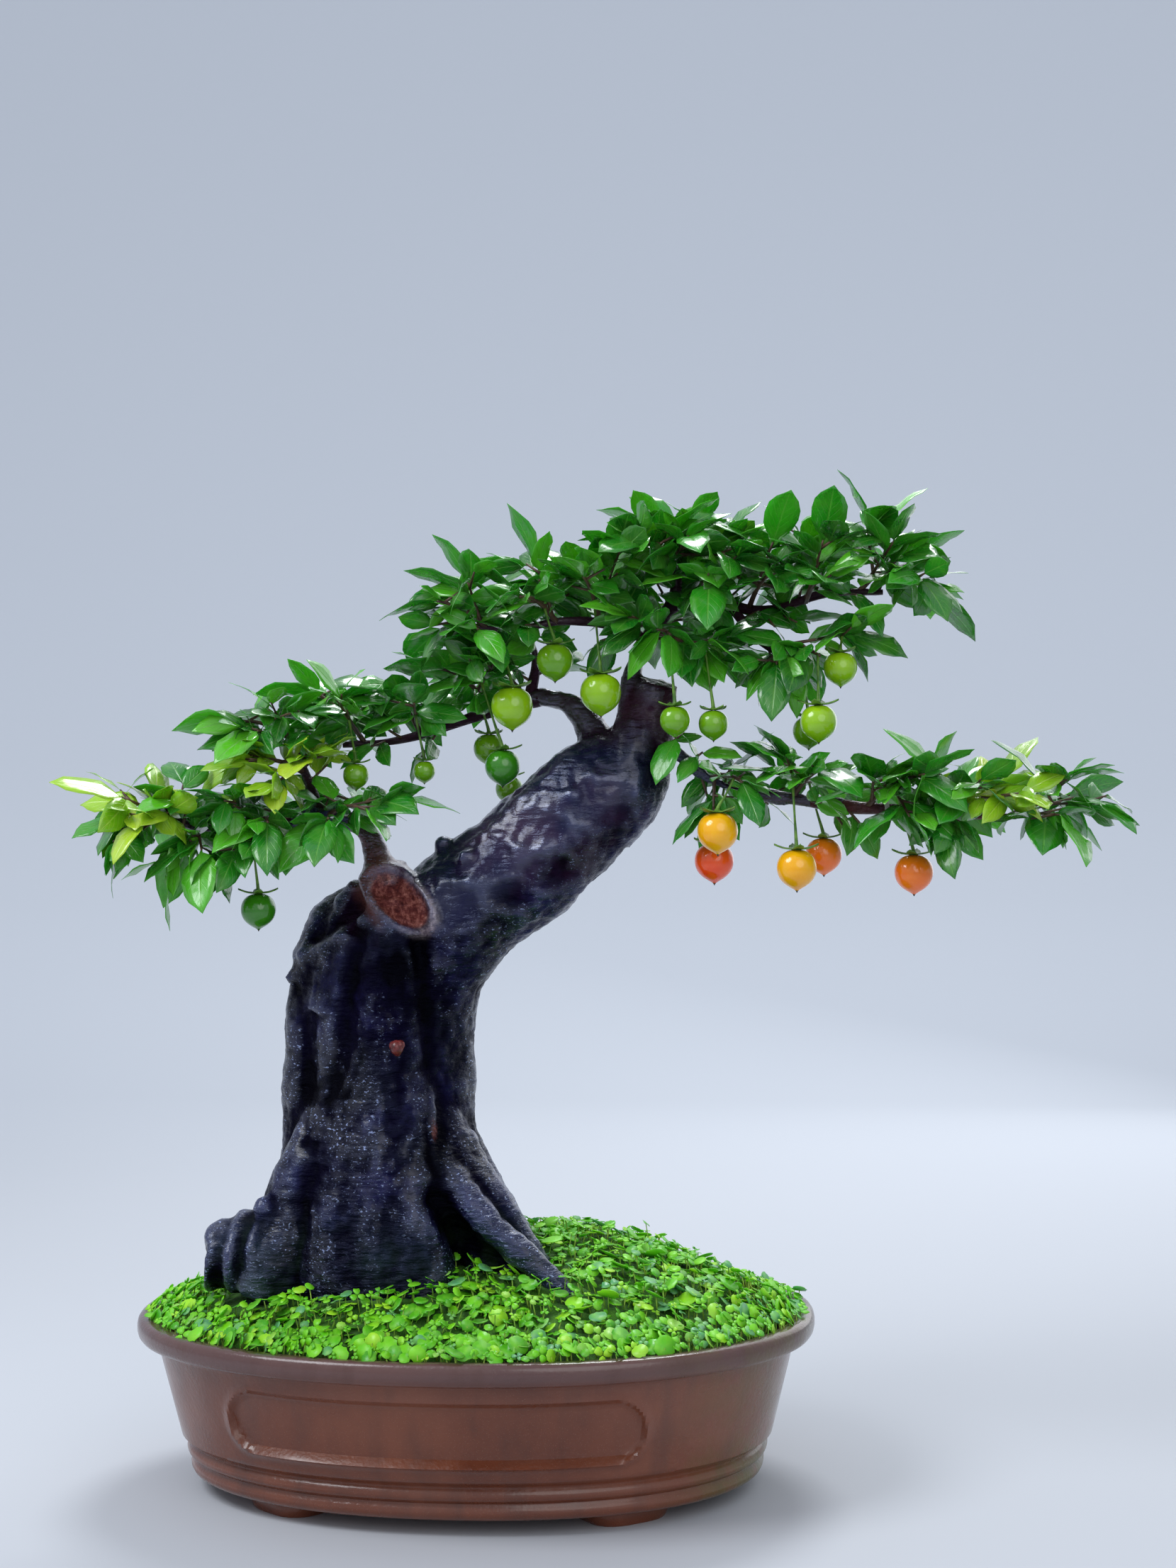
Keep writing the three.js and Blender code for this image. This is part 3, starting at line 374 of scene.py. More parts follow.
pot = {
    "halfLength": 180, "halfDepth": 132, "power": 2.17, "depthShare": 0.87, "segments": 480,
    "outside": [(31.5, 8.2), (30.4, 8.6), (28.6, 9.8), (27.7, 11.5), (27.6, 13.0), (28.3, 14.8),
                (29.3, 15.8), (29.5, 16.8), (28.6, 17.6), (27.0, 18.4), (25.9, 19.6), (25.5, 21),
                (25.9, 22.6), (26.9, 23.7), (27.6, 24.6), (27.4, 25.6), (26.0, 26.8),
                (24.2, 27.8), (22.6, 29.0)],
    "wallRows": 26, "wallTop": (10.5, 77.0),
    "rim": [(9.3, 78.0), (7.0, 78.6), (3.6, 79.0), (1.6, 79.8), (0.5, 81.4), (0.0, 83.6),
            (0.0, 86.2), (0.5, 88.4), (1.5, 89.8), (3.2, 90.5), (6.0, 90.6), (9.5, 90.2),
            (11.4, 89.3), (12.4, 87.6), (12.9, 84.0), (14.0, 80.0)],
    "inside": [(17.5, 72.0), (23.0, 66.0), (28.0, 50.0), (31.5, 34.0), (34.0, 26.0),
               (37.0, 20.5), (40.0, 18.0)],
    "panel": {"middle": -4, "halfLength": 106, "low": 36.5, "high": 70, "endRadius": 16,
              "depth": 2.2, "bead": 2.0, "beadWidth": 1.8, "lowerBead": 0.4,
              "wallLow": 29.5, "wallHigh": 76, "farthest": 122, "deepest": 45},
    "foot": {"x": 86, "y": 62, "turn": 0.33, "halfLength": 23, "halfDepth": 14.5,
             "rows": [(0.9, 1.035), (1.6, 1.03), (2.4, 1.035), (2.2, 0.985), (2.6, 1.03)]},
    "drainX": 72, "drainRadius": 10, "sharpest": 38,
}


def ovalPoint(turn, inset):
    power = 2 / pot["power"]
    c, s = math.cos(turn), math.sin(turn)
    return (math.copysign(abs(c) ** power, c) * (pot["halfLength"] - inset),
            math.copysign(abs(s) ** power, s) * (pot["halfDepth"] - inset * pot["depthShare"]))


def drawRings(profile):
    deselectAll()
    bpy.ops.mesh.primitive_circle_add(vertices=pot["segments"], radius=1, fill_type="NGON")
    body = bpy.context.object
    for i, vertex in enumerate(body.data.vertices):
        x, y = ovalPoint(i / pot["segments"] * math.tau, profile[0][0])
        vertex.co = (x * mm, y * mm, profile[0][1] * mm)
    editMesh(body)
    bpy.ops.mesh.select_all(action="SELECT")
    for (inset, z), (nextInset, nextZ) in zip(profile, profile[1:]):
        bpy.ops.mesh.extrude_region_move(
            TRANSFORM_OT_translate={"value": (0, 0, (nextZ - z) * mm)})
        bpy.ops.transform.resize(center_override=(0, 0, 0), value=(
            (pot["halfLength"] - nextInset) / (pot["halfLength"] - inset),
            (pot["halfDepth"] - nextInset * pot["depthShare"])
            / (pot["halfDepth"] - inset * pot["depthShare"]), 1))
    leaveEdit()
    return body


def panelRelief(x, z):  # how far the wall stands out or in beside the panel's rounded outline
    values = pot["panel"]
    middle = (values["low"] + values["high"]) / 2
    half = (values["high"] - values["low"]) / 2
    acrossX = abs(x - values["middle"]) - (values["halfLength"] - values["endRadius"])
    acrossZ = abs(z - middle) - (half - values["endRadius"])
    out = math.hypot(max(acrossX, 0), max(acrossZ, 0)) + min(max(acrossX, acrossZ), 0)
    out -= values["endRadius"]
    heavier = 1 + values["lowerBead"] * (middle - z) / half  # along the bottom
    bead = values["bead"] * heavier * math.exp(-(out / values["beadWidth"]) ** 2)
    sunk = values["depth"] / (1 + math.exp(min(40, max(-40, (out + 2.2) * 2.2))))
    return bead - sunk


def shapePanels(body, last):  # front and back, on the outer wall's own points
    values = pot["panel"]
    for vertex in body.data.vertices[:last]:
        x, y, z = vertex.co / mm
        onWall = values["wallLow"] < z < values["wallHigh"]
        facing = abs(x) < values["farthest"] and pot["halfDepth"] - abs(y) < values["deepest"]
        if onWall and facing:
            vertex.co.y += panelRelief(x, z) * (mm if y > 0 else -mm)


def makeFoot(signX, signY):
    deselectAll()
    values = pot["foot"]
    bpy.ops.mesh.primitive_circle_add(vertices=40, radius=1, fill_type="NGON")
    foot = bpy.context.object
    for vertex in foot.data.vertices:  # round with low lobes
        turn = math.atan2(vertex.co.y, vertex.co.x)
        reach = 1 + 0.07 * math.cos(3 * turn) - 0.05 * math.cos(5 * turn + 0.6)
        vertex.co.x = (values["halfLength"] * math.cos(turn) * reach - 2) * mm
        vertex.co.y = (values["halfDepth"] * math.sin(turn) * reach
                       + 2.5 * math.cos(2 * turn)) * mm
        vertex.co.z = 0.02 * mm
    editMesh(foot)
    bpy.ops.mesh.select_all(action="SELECT")
    for rise, grow in values["rows"]:
        bpy.ops.mesh.extrude_region_move(TRANSFORM_OT_translate={"value": (0, 0, rise * mm)})
        bpy.ops.transform.resize(center_override=(0, 0, 0), value=(grow, grow, 1))
    leaveEdit()
    foot.scale = (signX, -signY, 1)
    foot.rotation_euler.z = -values["turn"] * signX * signY
    foot.location = (signX * values["x"] * mm, signY * values["y"] * mm, 0)
    finishMesh(foot)
    mendNormals(foot)
    return foot


def makePot():
    (lowInset, low), (topInset, top) = pot["outside"][-1], pot["wallTop"]
    rows = pot["wallRows"]
    wall = [(lowInset + (topInset - lowInset) * k / rows, low + (top - low) * k / rows)
            for k in range(1, rows + 1)]
    body = drawRings(pot["outside"] + wall + pot["rim"] + pot["inside"])
    shapePanels(body, pot["segments"] * (len(pot["outside"]) + len(wall)))
    mendNormals(body)
    for side in (-1, 1):
        deselectAll()
        bpy.ops.mesh.primitive_cylinder_add(vertices=40, radius=pot["drainRadius"] * mm, depth=0.03,
                                            location=(side * pot["drainX"] * mm, 0, 0.013))
        drain = bpy.context.object
        applyModifier(drain, "BEVEL", width=0.001, segments=2)
        applyModifier(body, "BOOLEAN", operation="DIFFERENCE", object=drain, solver="EXACT")
        bpy.data.objects.remove(drain)
    feet = [makeFoot(x, y) for x in (-1, 1) for y in (-1, 1)]
    body = joinPieces([body, *feet], "oval_pot")
    body.location = potMiddle
    finishMesh(body)
    bpy.ops.object.shade_smooth_by_angle(angle=math.radians(pot["sharpest"]))
    dress(body, stoneware())
    settle(body, "stoneware", "pot")
    print("pot made", len(body.data.polygons), "faces")


def stoneware():
    finish = newFinish("brown_red_stoneware")
    clay = ramp(finish, cloudOf(finish, 14.0, 5.0, 0.62), [
        (0.25, (0.095, 0.022, 0.009, 1)), (0.5, (0.155, 0.040, 0.016, 1)),
        (0.75, (0.205, 0.060, 0.027, 1))])
    grit = addNode(finish, "TexVoronoi", {"Scale": 900.0, "Randomness": 1.0})
    spot = ramp(finish, grit.outputs["Distance"], [(0.1, 1.0), (0.22, 0.0)])
    clay = blendTones(finish, times(finish, spot, 0.35), clay, (0.33, 0.17, 0.11, 1))
    height = axisOf(finish, "Z")
    rim = times(finish, span(finish, height, 0.076, 0.084), 0.72)
    clay = blendTones(finish, rim, clay, (0.085, 0.052, 0.055, 1))
    streaks = ramp(finish, cloudOf(finish, 1.0, 4.0, stretch=(60, 60, 7)),
                   [(0.52, 0.0), (0.72, 0.45)])
    clay = blendTones(finish, streaks, clay, (0.07, 0.024, 0.015, 1))
    rightEnd = span(finish, axisOf(finish, "X"), 0.02, 0.11)
    lowBand = span(finish, height, 0.045, 0.012)
    reach = times(finish, rightEnd, plus(finish, 0.55, lowBand), True)
    algae = ramp(finish, cloudOf(finish, 38.0, 6.0, 0.7), [(0.38, 0.0), (0.58, 0.9)])
    clay = blendTones(finish, times(finish, algae, reach), clay, (0.095, 0.080, 0.006, 1))
    moss = ramp(finish, cloudOf(finish, 55.0, 4.0), [(0.5, 0.0), (0.66, 0.8)])
    rimTop = span(finish, height, 0.0895, 0.0905)
    clay = blendTones(finish, times(finish, moss, rimTop), clay, (0.05, 0.075, 0.01, 1))
    feed(finish, "Base Color", clay)
    feed(finish, "Roughness", ramp(finish, cloudOf(finish, 30.0, 3.0),
                                   [(0.35, 0.2), (0.65, 0.42)]))
    feed(finish, "Specular IOR Level", 0.4)
    feed(finish, "Coat Weight", 0.5)
    feed(finish, "Coat Roughness", 0.12)
    relief(finish, cloudOf(finish, 420.0, 4.0), 0.00045, 0.6)
    return finish


# Wood: strands of the trunk and its branches, points x, y, z, radius in millimetres

strands = {
    "main": [[-31, 0, 90, 46], [-30, 0, 129, 38], [-31, 0, 163, 33], [-32, 0, 197, 32],
             [-32, 0, 235, 32], [-27, -2, 269, 33], [-10, -3, 295, 34], [8, -4, 312, 33],
             [27, -4, 324, 33], [52, -2, 347, 32], [71, 0, 367, 30], [84, 2, 379, 22]],
    "column": [[-40, -23, 328, 9], [-37, -26, 315, 15], [-37, -28, 297, 18],
               [-39, -27, 275, 20], [-40, -27, 245, 22], [-42, -28, 212, 24],
               [-46, -30, 179, 29], [-51, -32, 142, 34], [-52, -32, 90, 39]],
    "shoulder": [[-62, -2, 312, 8], [-72, -4, 294, 17], [-76, -5, 272, 21], [-78, -6, 239, 22],
                 [-80, -6, 201, 22], [-81, -4, 167, 24], [-84, -2, 136, 27], [-87, 0, 90, 33]],
    "frontRidge": [[-25, -24, 212, 9], [-16, -33, 178, 11], [7, -44, 148, 10],
                   [25, -48, 134, 9], [44, -50, 120, 7], [58, -51, 106, 5]],
    "rightRoot": [[-11, 0, 182, 13], [-1, 4, 159, 13], [12, 8, 135, 12], [30, 12, 104, 9]],
    "leftRoot": [[-64, -12, 198, 11], [-81, -32, 156, 17], [-94, -40, 133, 17],
                 [-108, -44, 104, 15]],
    "stump": [[-92, -28, 134, 19], [-112, -35, 125, 19], [-126, -38, 123, 18],
              [-134, -39, 122, 15]],
    "backRoot": [[-46, 14, 186, 13], [-44, 36, 136, 19], [-42, 54, 98, 18]],
}
branches = {
    "low": [[-42, -25, 314, 12], [-47, -22, 334, 7], [-54, -22, 346, 5.5], [-76, -22, 352, 5.5],
            [-92, -24, 350, 3.6], [-126, -28, 348, 2.4], [-142, -30, 348, 2.1],
            [-159, -32, 354, 1.6]],
    "lowRise": [[-76, -22, 352, 3.4], [-90, -8, 380, 2.4], [-104, 0, 404, 1.6]],
    "left": [[72, 6, 380, 12], [62, 10, 401, 8], [51, 12, 412, 6.5], [36, 14, 415, 5.2],
             [12, 16, 409, 3.5], [-14, 15, 401, 2.8], [-42, 12, 393, 2.3], [-71, 8, 391, 1.6]],
    "leftRise": [[30, 15, 413, 3.4], [35, 8, 435, 2.2], [33, 2, 446, 1.7]],
    "stub": [[90, 0, 376, 17], [96, 0, 395, 14], [99, -2, 410, 13], [102, -4, 421, 11]],
    "crown": [[84, -2, 384, 10], [86, -4, 404, 6], [90, -3, 432, 4.4], [96, 0, 445, 4],
              [111, 2, 469, 3], [109, 2, 490, 2.2], [106, 2, 504, 1.6]],
    "crownLeft": [[95, 0, 444, 3.4], [84, -6, 450, 2.8], [55, -14, 454, 2.3],
                  [24, -20, 449, 1.8], [9, -22, 451, 1.5]],
    "crownRight": [[104, 2, 458, 3.2], [121, 0, 465, 3], [159, -6, 458, 2.7],
                   [191, -8, 466, 2.1], [220, -8, 466, 1.5]],
    "crownDrop": [[140, -4, 461, 2.7], [161, -12, 438, 2], [177, -14, 432, 1.6]],
    "right": [[92, -3, 392, 8], [103, -9, 389, 4], [119, -14, 378, 3], [130, -17, 370, 2.8],
              [166, -21, 360, 2.9], [182, -22, 358, 3.3], [199, -23, 355, 3.8],
              [228, -25, 353, 2.6], [245, -27, 351, 2.4], [286, -30, 349, 1.6]],
}
wood = {
    "voxel": 0.0016, "smoothing": 9, "thick": 3.5, "foot": 95.2,
    "scar": {"at": (-36, -40, 303), "lean": 0.62, "turn": 0.36, "middle": (-39, 307),
             "tilt": 0.75, "long": 18.5, "short": 10.5},
    "knobs": [(-13, -12, 337, 5.5), (2, -30, 330, 6), (22, -33, 322, 5), (60, -30, 362, 5),
              (-94, -16, 267, 5), (-89, -10, 279, 7), (-104, -46, 150, 6),
              (-118, -50, 128, 5), (96, -11, 402, 5), (108, 4, 414, 4), (-80, -22, 352, 6),
              (10, 24, 318, 7), (-70, 18, 240, 7), (-20, 32, 200, 6), (48, -28, 340, 7)],
}
skin = {"around": ("main", "column", "shoulder"), "centre": (-48, -14), "sides": 72,
        "low": 91, "high": 268, "step": 5.9, "fill": 1.5, "window": 5}
fills = [[(-24, -16, 204, 14), (-12, -20, 172, 20), (4, -24, 146, 20), (16, -26, 122, 18),
          (22, -28, 92, 18)],
         [(-70, -26, 200, 16), (-80, -28, 160, 22), (-90, -32, 130, 22), (-96, -34, 92, 22)],
         [(-52, -26, 292, 14), (-58, -20, 262, 20), (-60, -18, 230, 22), (-62, -16, 190, 24)],
         [(-30, -20, 250, 16), (-16, -16, 282, 20), (0, -12, 306, 20)],
         [(-53, -20, 317, 9), (-58, -16, 303, 15), (-64, -14, 282, 20), (-66, -14, 250, 24)],
         [(66, -1, 352, 27), (84, 0, 372, 24), (92, 0, 390, 18), (98, -1, 408, 14)],
         [(-8, -18, 180, 14), (8, -24, 152, 13), (24, -27, 130, 12), (38, -26, 104, 13)],
         [(-30, -32, 215, 14), (-26, -40, 180, 16), (-24, -46, 140, 20), (-22, -46, 92, 24)]]
folds = [{"at": (-106, -34, 127), "radius": 20.5, "width": 3.0},
         {"at": (-119, -37, 124), "radius": 18.5, "width": 3.4},
         {"at": (-132, -39, 122), "radius": 14.5, "width": 2.6}]


# Swollen rings round the old stump, a little out of round
def makeFolds():
    runs = []
    for values in folds:
        x, y, z = values["at"]
        run = []
        for k in range(15):
            turn = k / 14 * math.tau
            reach = values["radius"] * (1 + 0.06 * math.sin(2 * turn + x))
            run.append((x + 1.5 * math.sin(turn + x), y + reach * math.cos(turn),
                        z + reach * math.sin(turn), values["width"]))
        runs.append(run)
    return tubes("stump_folds", runs, 3)


def strandAt(run, z):
    for a, b in zip(run, run[1:]):
        share = (z - a[2]) / (b[2] - a[2])
        if 0 <= share <= 1:
            return [u + (v - u) * share for u, v in zip(a, b)]
    return None


def skinReach(turn, z):
    cx, cy = skin["centre"]
    dx, dy = math.cos(turn), math.sin(turn)
    reach = 0
    for name in skin["around"]:
        x, y, _, radius = strandAt(strands[name], z)
        ahead = (x - cx) * dx + (y - cy) * dy
        aside = (x - cx) * dy - (y - cy) * dx
        if abs(aside) < radius:
            reach = max(reach, ahead + math.sqrt(radius ** 2 - aside ** 2))
    return reach


# Skin drawn round the three main strands, with the grooves between them part filled
def bodySkin():
    deselectAll()
    sides = skin["sides"]
    bpy.ops.mesh.primitive_circle_add(vertices=sides, radius=1, fill_type="NGON")
    body = bpy.context.object
    editMesh(body)
    bpy.ops.mesh.select_all(action="SELECT")
    count = round((skin["high"] - skin["low"]) / skin["step"])
    for _ in range(count):
        bpy.ops.mesh.extrude_region_move(TRANSFORM_OT_translate={"value": (0, 0, 1)})
    leaveEdit()
    for vertex in body.data.vertices:
        turn = math.atan2(vertex.co.y, vertex.co.x)
        z = skin["low"] + skin["step"] * vertex.co.z
        near = [skinReach(turn + k * math.tau / sides, z)
                for k in range(-skin["window"], skin["window"] + 1)]
        reach = max(near[skin["window"]], sum(near) / len(near) - skin["fill"])
        vertex.co = place(skin["centre"][0] + math.cos(turn) * reach,
                          skin["centre"][1] + math.sin(turn) * reach, z)
    mendNormals(body)
    return body


def woodNoise(points):
    rough = np.zeros(len(points))
    for i, point in enumerate(points):
        x, y, z = point * 1000
        flute = noise.noise((x * 0.055, y * 0.055, z * 0.012))
        lump = noise.noise((x * 0.05 + 9, y * 0.05, z * 0.04))
        fine = noise.noise((x * 0.21, y * 0.21 + 5, z * 0.14))
        ring = noise.noise((x * 0.05, y * 0.05, z * 0.5 + 3))
        rough[i] = 1.3 * flute + 2.0 * lump + 0.8 * fine + 0.35 * ring
    return rough * mm


# Lines down the front of the trunk as the camera sees them: x, z where they meet the plane
# through the trunk's middle, half width, and how far the wood stands out or in
grain = [
    {"run": [(-101, 266), (-94, 238), (-92, 205), (-92, 178)], "wide": 5.5, "rise": -3.2},
    {"run": [(-71, 288), (-71, 262), (-78, 232), (-84, 205), (-88, 183), (-94, 166),
             (-104, 150)], "wide": 7, "rise": 1.4},
    {"run": [(-84, 287), (-75, 297), (-66, 305)], "wide": 7.5, "rise": -4},
    {"run": [(-93, 278), (-80, 285), (-68, 292), (-60, 297)], "wide": 3.4, "rise": 2.4},
    {"run": [(-30, 286), (-25, 262), (-24, 220), (-23, 183), (-21, 146)], "wide": 4.5,
     "rise": -2.4},
    {"run": [(-21, 146), (-6, 124), (8, 112)], "wide": 7, "rise": -4.5},
]
panels = [(1, 330, 20, 11, 1.6), (-8, 304, 12, 11, 1.6), (22, 309, 11, 8, 1.4),
          (40, 322, 15, 9, 1.6), (70, 358, 16, 11, 1.6), (35, 345, 15, 9, 1.6)]
arm = {"start": (-18, 289), "end": (99, 374), "length": 150}
marked = {"front": -16, "slit": (-21.5, 184, 1.1, 5), "shade": (-46, 256, 20, 30),
          "limbFoot": (-48, -23, 334), "youngFrom": 385, "redderFrom": 98, "redderBelow": 400}


def asSeen(local):  # x and z where the camera sees each point against the trunk's middle
    eye = np.array(cameraView["place"])
    share = -eye[1] / (local[:, 1] - eye[1])
    return np.stack([eye[k] + (local[:, k] - eye[k]) * share for k in (0, 2)], 1)


def scarShare(seen):  # 0 in the middle of the old cut, 1 at its edge
    scar = wood["scar"]
    x, z = (seen - np.array(scar["middle"])).T
    along = x * math.cos(scar["tilt"]) - z * math.sin(scar["tilt"])
    across = x * math.sin(scar["tilt"]) + z * math.cos(scar["tilt"])
    return np.hypot(along / scar["long"], across / scar["short"])


def ovalShare(seen, oval):  # the same for an upright oval: x, z, half width, half height
    x, z, wide, high = oval
    return np.hypot((seen[:, 0] - x) / wide, (seen[:, 1] - z) / high)


# Carves the front of the trunk: long grooves, ridges, healed panels and the scar's lip
def carve(local, normals):
    seen = asSeen(local)
    change = np.zeros(len(local))
    for line in grain:
        run = np.array(line["run"], float)
        far = segmentDistance(seen, run[:-1], run[1:]).min(1)
        change += line["rise"] * np.exp(-(far / line["wide"]) ** 2)
    for *oval, deep in panels:
        far = ovalShare(seen, oval)
        change -= deep * np.exp(-far ** 4) - 0.3 * deep * np.exp(-((far - 1.25) / 0.25) ** 2)
    edge = scarShare(seen)
    lip = 2.4 * np.exp(-((edge - 1.2) / 0.18) ** 2)
    change = np.where(edge < 1.6, change * fade(edge, 1.2, 1.6), change)
    change += lip - 1.5 * fade(edge, 1.02, 0.9)
    return change * fade(normals[:, 1], -0.05, -0.4)


def readNormals(mesh):
    normals = np.zeros(len(mesh.vertices) * 3)
    mesh.vertices.foreach_get("normal", normals)
    return normals.reshape(-1, 3)


def nearMean(mesh, values, rounds):  # each point's value evened out with its neighbours'
    total = len(values)
    edges = np.zeros(len(mesh.edges) * 2, dtype=np.int32)
    mesh.edges.foreach_get("vertices", edges)
    a, b = edges.reshape(-1, 2).T
    count = np.maximum(np.bincount(a, minlength=total) + np.bincount(b, minlength=total), 1)
    for _ in range(rounds):
        near = np.stack([np.bincount(a, values[b, k], total) + np.bincount(b, values[a, k], total)
                         for k in range(3)], 1)
        values = values * 0.4 + near / count[:, None] * 0.6
    return values


def evenFlare(mesh):  # the lower trunk's front is broad and smooth, without the strands' valleys
    points = readPoints(mesh)
    x, z = asSeen(localPoints(mesh)).T
    share = (fade(x, -96, -82) * fade(x, -16, -28) * fade(z, 250, 220)
             * fade(readNormals(mesh)[:, 1], 0, -0.3))
    writePoints(mesh, points + (nearMean(mesh, points, 110) - points) * share[:, None] * 0.9)


def roughen(obj, amount, carved=False):
    points = readPoints(obj.data)
    normals = nearMean(obj.data, readNormals(obj.data), 12)
    normals /= np.maximum(np.linalg.norm(normals, axis=1, keepdims=True), 1e-6)
    change = woodNoise(points) * amount
    if carved:
        change += carve(localPoints(obj.data), normals) * mm
    writePoints(obj.data, points + normals * change[:, None])


# How far each point stands out of its surroundings: 0 in a hollow, 1 on a ridge
def ridgeShare(mesh):
    points = readPoints(mesh)
    out = ((points - nearMean(mesh, points, 60)) * readNormals(mesh)).sum(1) / mm
    return fade(out, -2.5, 2.5)


def scarNormal():
    tilt = math.pi / 2 - wood["scar"]["lean"]
    normal = Vector((0, -math.sin(tilt), math.cos(tilt)))
    return Matrix.Rotation(wood["scar"]["turn"], 3, "Z") @ normal


def cutScar(column):
    editMesh(column)
    bpy.ops.mesh.select_all(action="SELECT")
    bpy.ops.mesh.bisect(plane_co=place(*wood["scar"]["at"]), plane_no=scarNormal(),
                        use_fill=True, clear_outer=True)
    leaveEdit()


def makeKnob(x, y, z, radius):
    deselectAll()
    bpy.ops.mesh.primitive_ico_sphere_add(subdivisions=3, radius=radius * mm,
                                          location=place(x, y, z))
    knob = bpy.context.object
    finishMesh(knob)
    return knob


def splitBranches():  # thick lengths are fused with the trunk, thin ones stay round tubes
    thick = []
    thin = []
    for run in branches.values():
        last = max((i for i, p in enumerate(run) if p[3] >= wood["thick"]), default=-1)
        if last > 0:
            thick.append(run[:last + 1])
            last -= 1
        thin.append([[*p[:3], p[3] * 0.97] for p in run[max(last, 0):]])
    return thick, thin


def trunkMarks(mesh):  # how far each point is cut, lipped, healed, young, smooth or raised, with a patch of painted shade below the scar
    local = localPoints(mesh)
    seen = asSeen(local)
    x = seen[:, 0]
    front = local[:, 1] < marked["front"]
    edge = scarShare(seen)
    limb = np.linalg.norm(local - marked["limbFoot"], axis=1)
    start, end = np.array(arm["start"], float), np.array(arm["end"], float)
    ahead = (end - start) / np.linalg.norm(end - start)
    along = (seen - start) @ ahead
    above = (seen - start) @ np.array((-ahead[1], ahead[0]))
    polish = (fade(above, -8, 2) * fade(along, -2, 8)
              * fade(along, arm["length"], arm["length"] - 20))
    slit = fade(ovalShare(seen, marked["slit"]), 1.4, 0.4)
    # painted shade: a dark patch below the scar on the front of the trunk
    shade = np.exp(-ovalShare(seen, marked["shade"]) ** 2) * front
    brightest = np.clip(0.35 + (x + 40) / 30, 0.1, 1)  # the lip's right side
    rightward = 0.6 * np.maximum(local[:, 0] - 95, 0)
    return {
        "scar": np.maximum(fade(edge, 1.04, 0.94), slit) * front,
        "lip": np.exp(-((edge - 1.2) / 0.14) ** 2) * brightest * front,
        "collar": np.maximum(fade(limb, 22, 13),
                             fade(edge, 2, 1.5) * fade(x, -46, -52) * front),
        "young": fade(local[:, 2] + rightward, marked["youngFrom"], marked["youngFrom"] + 20),
        "polish": polish,
        # the raised share darkens hollows as painted shade, and the painted shade patch below the
        # scar is taken off it
        "ridge_and_painted_shade": np.maximum(np.clip(ridgeShare(mesh) - 0.35 * shade, 0, 1), 0.55 * polish),
    }


def twigMarks(mesh):  # the right branch is redder than the others
    x, _, z = localPoints(mesh).T
    redder = fade(x, marked["redderFrom"], marked["redderFrom"] + 8)
    return {"young": 1.0, "ridge_and_painted_shade": 0.55, "collar": 0.8 * redder * (z < marked["redderBelow"])}


def makeTrunk():
    column = tubes("column", [strands["column"]], 8)
    cutScar(column)
    others = tubes("strands", [run for name, run in strands.items() if name != "column"], 8)
    thick, thin = splitBranches()
    limbs = tubes("limbs", thick, 6)
    knobs = [makeKnob(*values) for values in wood["knobs"]]
    filled = tubes("fills", fills, 6)
    trunk = joinPieces([column, others, limbs, filled, bodySkin(), makeFolds(), *knobs],
                       "trunk_and_branches")
    applyModifier(trunk, "REMESH", mode="VOXEL", voxel_size=wood["voxel"])
    applyModifier(trunk, "SMOOTH", factor=0.5, iterations=wood["smoothing"])
    evenFlare(trunk.data)
    roughen(trunk, 1.0, True)
    editMesh(trunk)
    bpy.ops.mesh.select_all(action="SELECT")
    bpy.ops.mesh.bisect(plane_co=(0, 0, wood["foot"] * mm), plane_no=(0, 0, 1),
                        use_fill=True, clear_inner=True)
    leaveEdit()
    twigs = tubes("thin_branches", thin, 3, 8)
    roughen(twigs, 0.3)
    outer = twigMarks(twigs.data)
    for name, share in trunkMarks(trunk.data).items():
        setShare(trunk.data, name, share)
        setShare(twigs.data, name, outer.get(name, 0.0))
    trunk = joinPieces([trunk, twigs], "trunk_and_branches")
    finishMesh(trunk)
    dress(trunk, bark())
    settle(trunk, "bark", "trunk")
    print("trunk made", len(trunk.data.polygons), "faces")


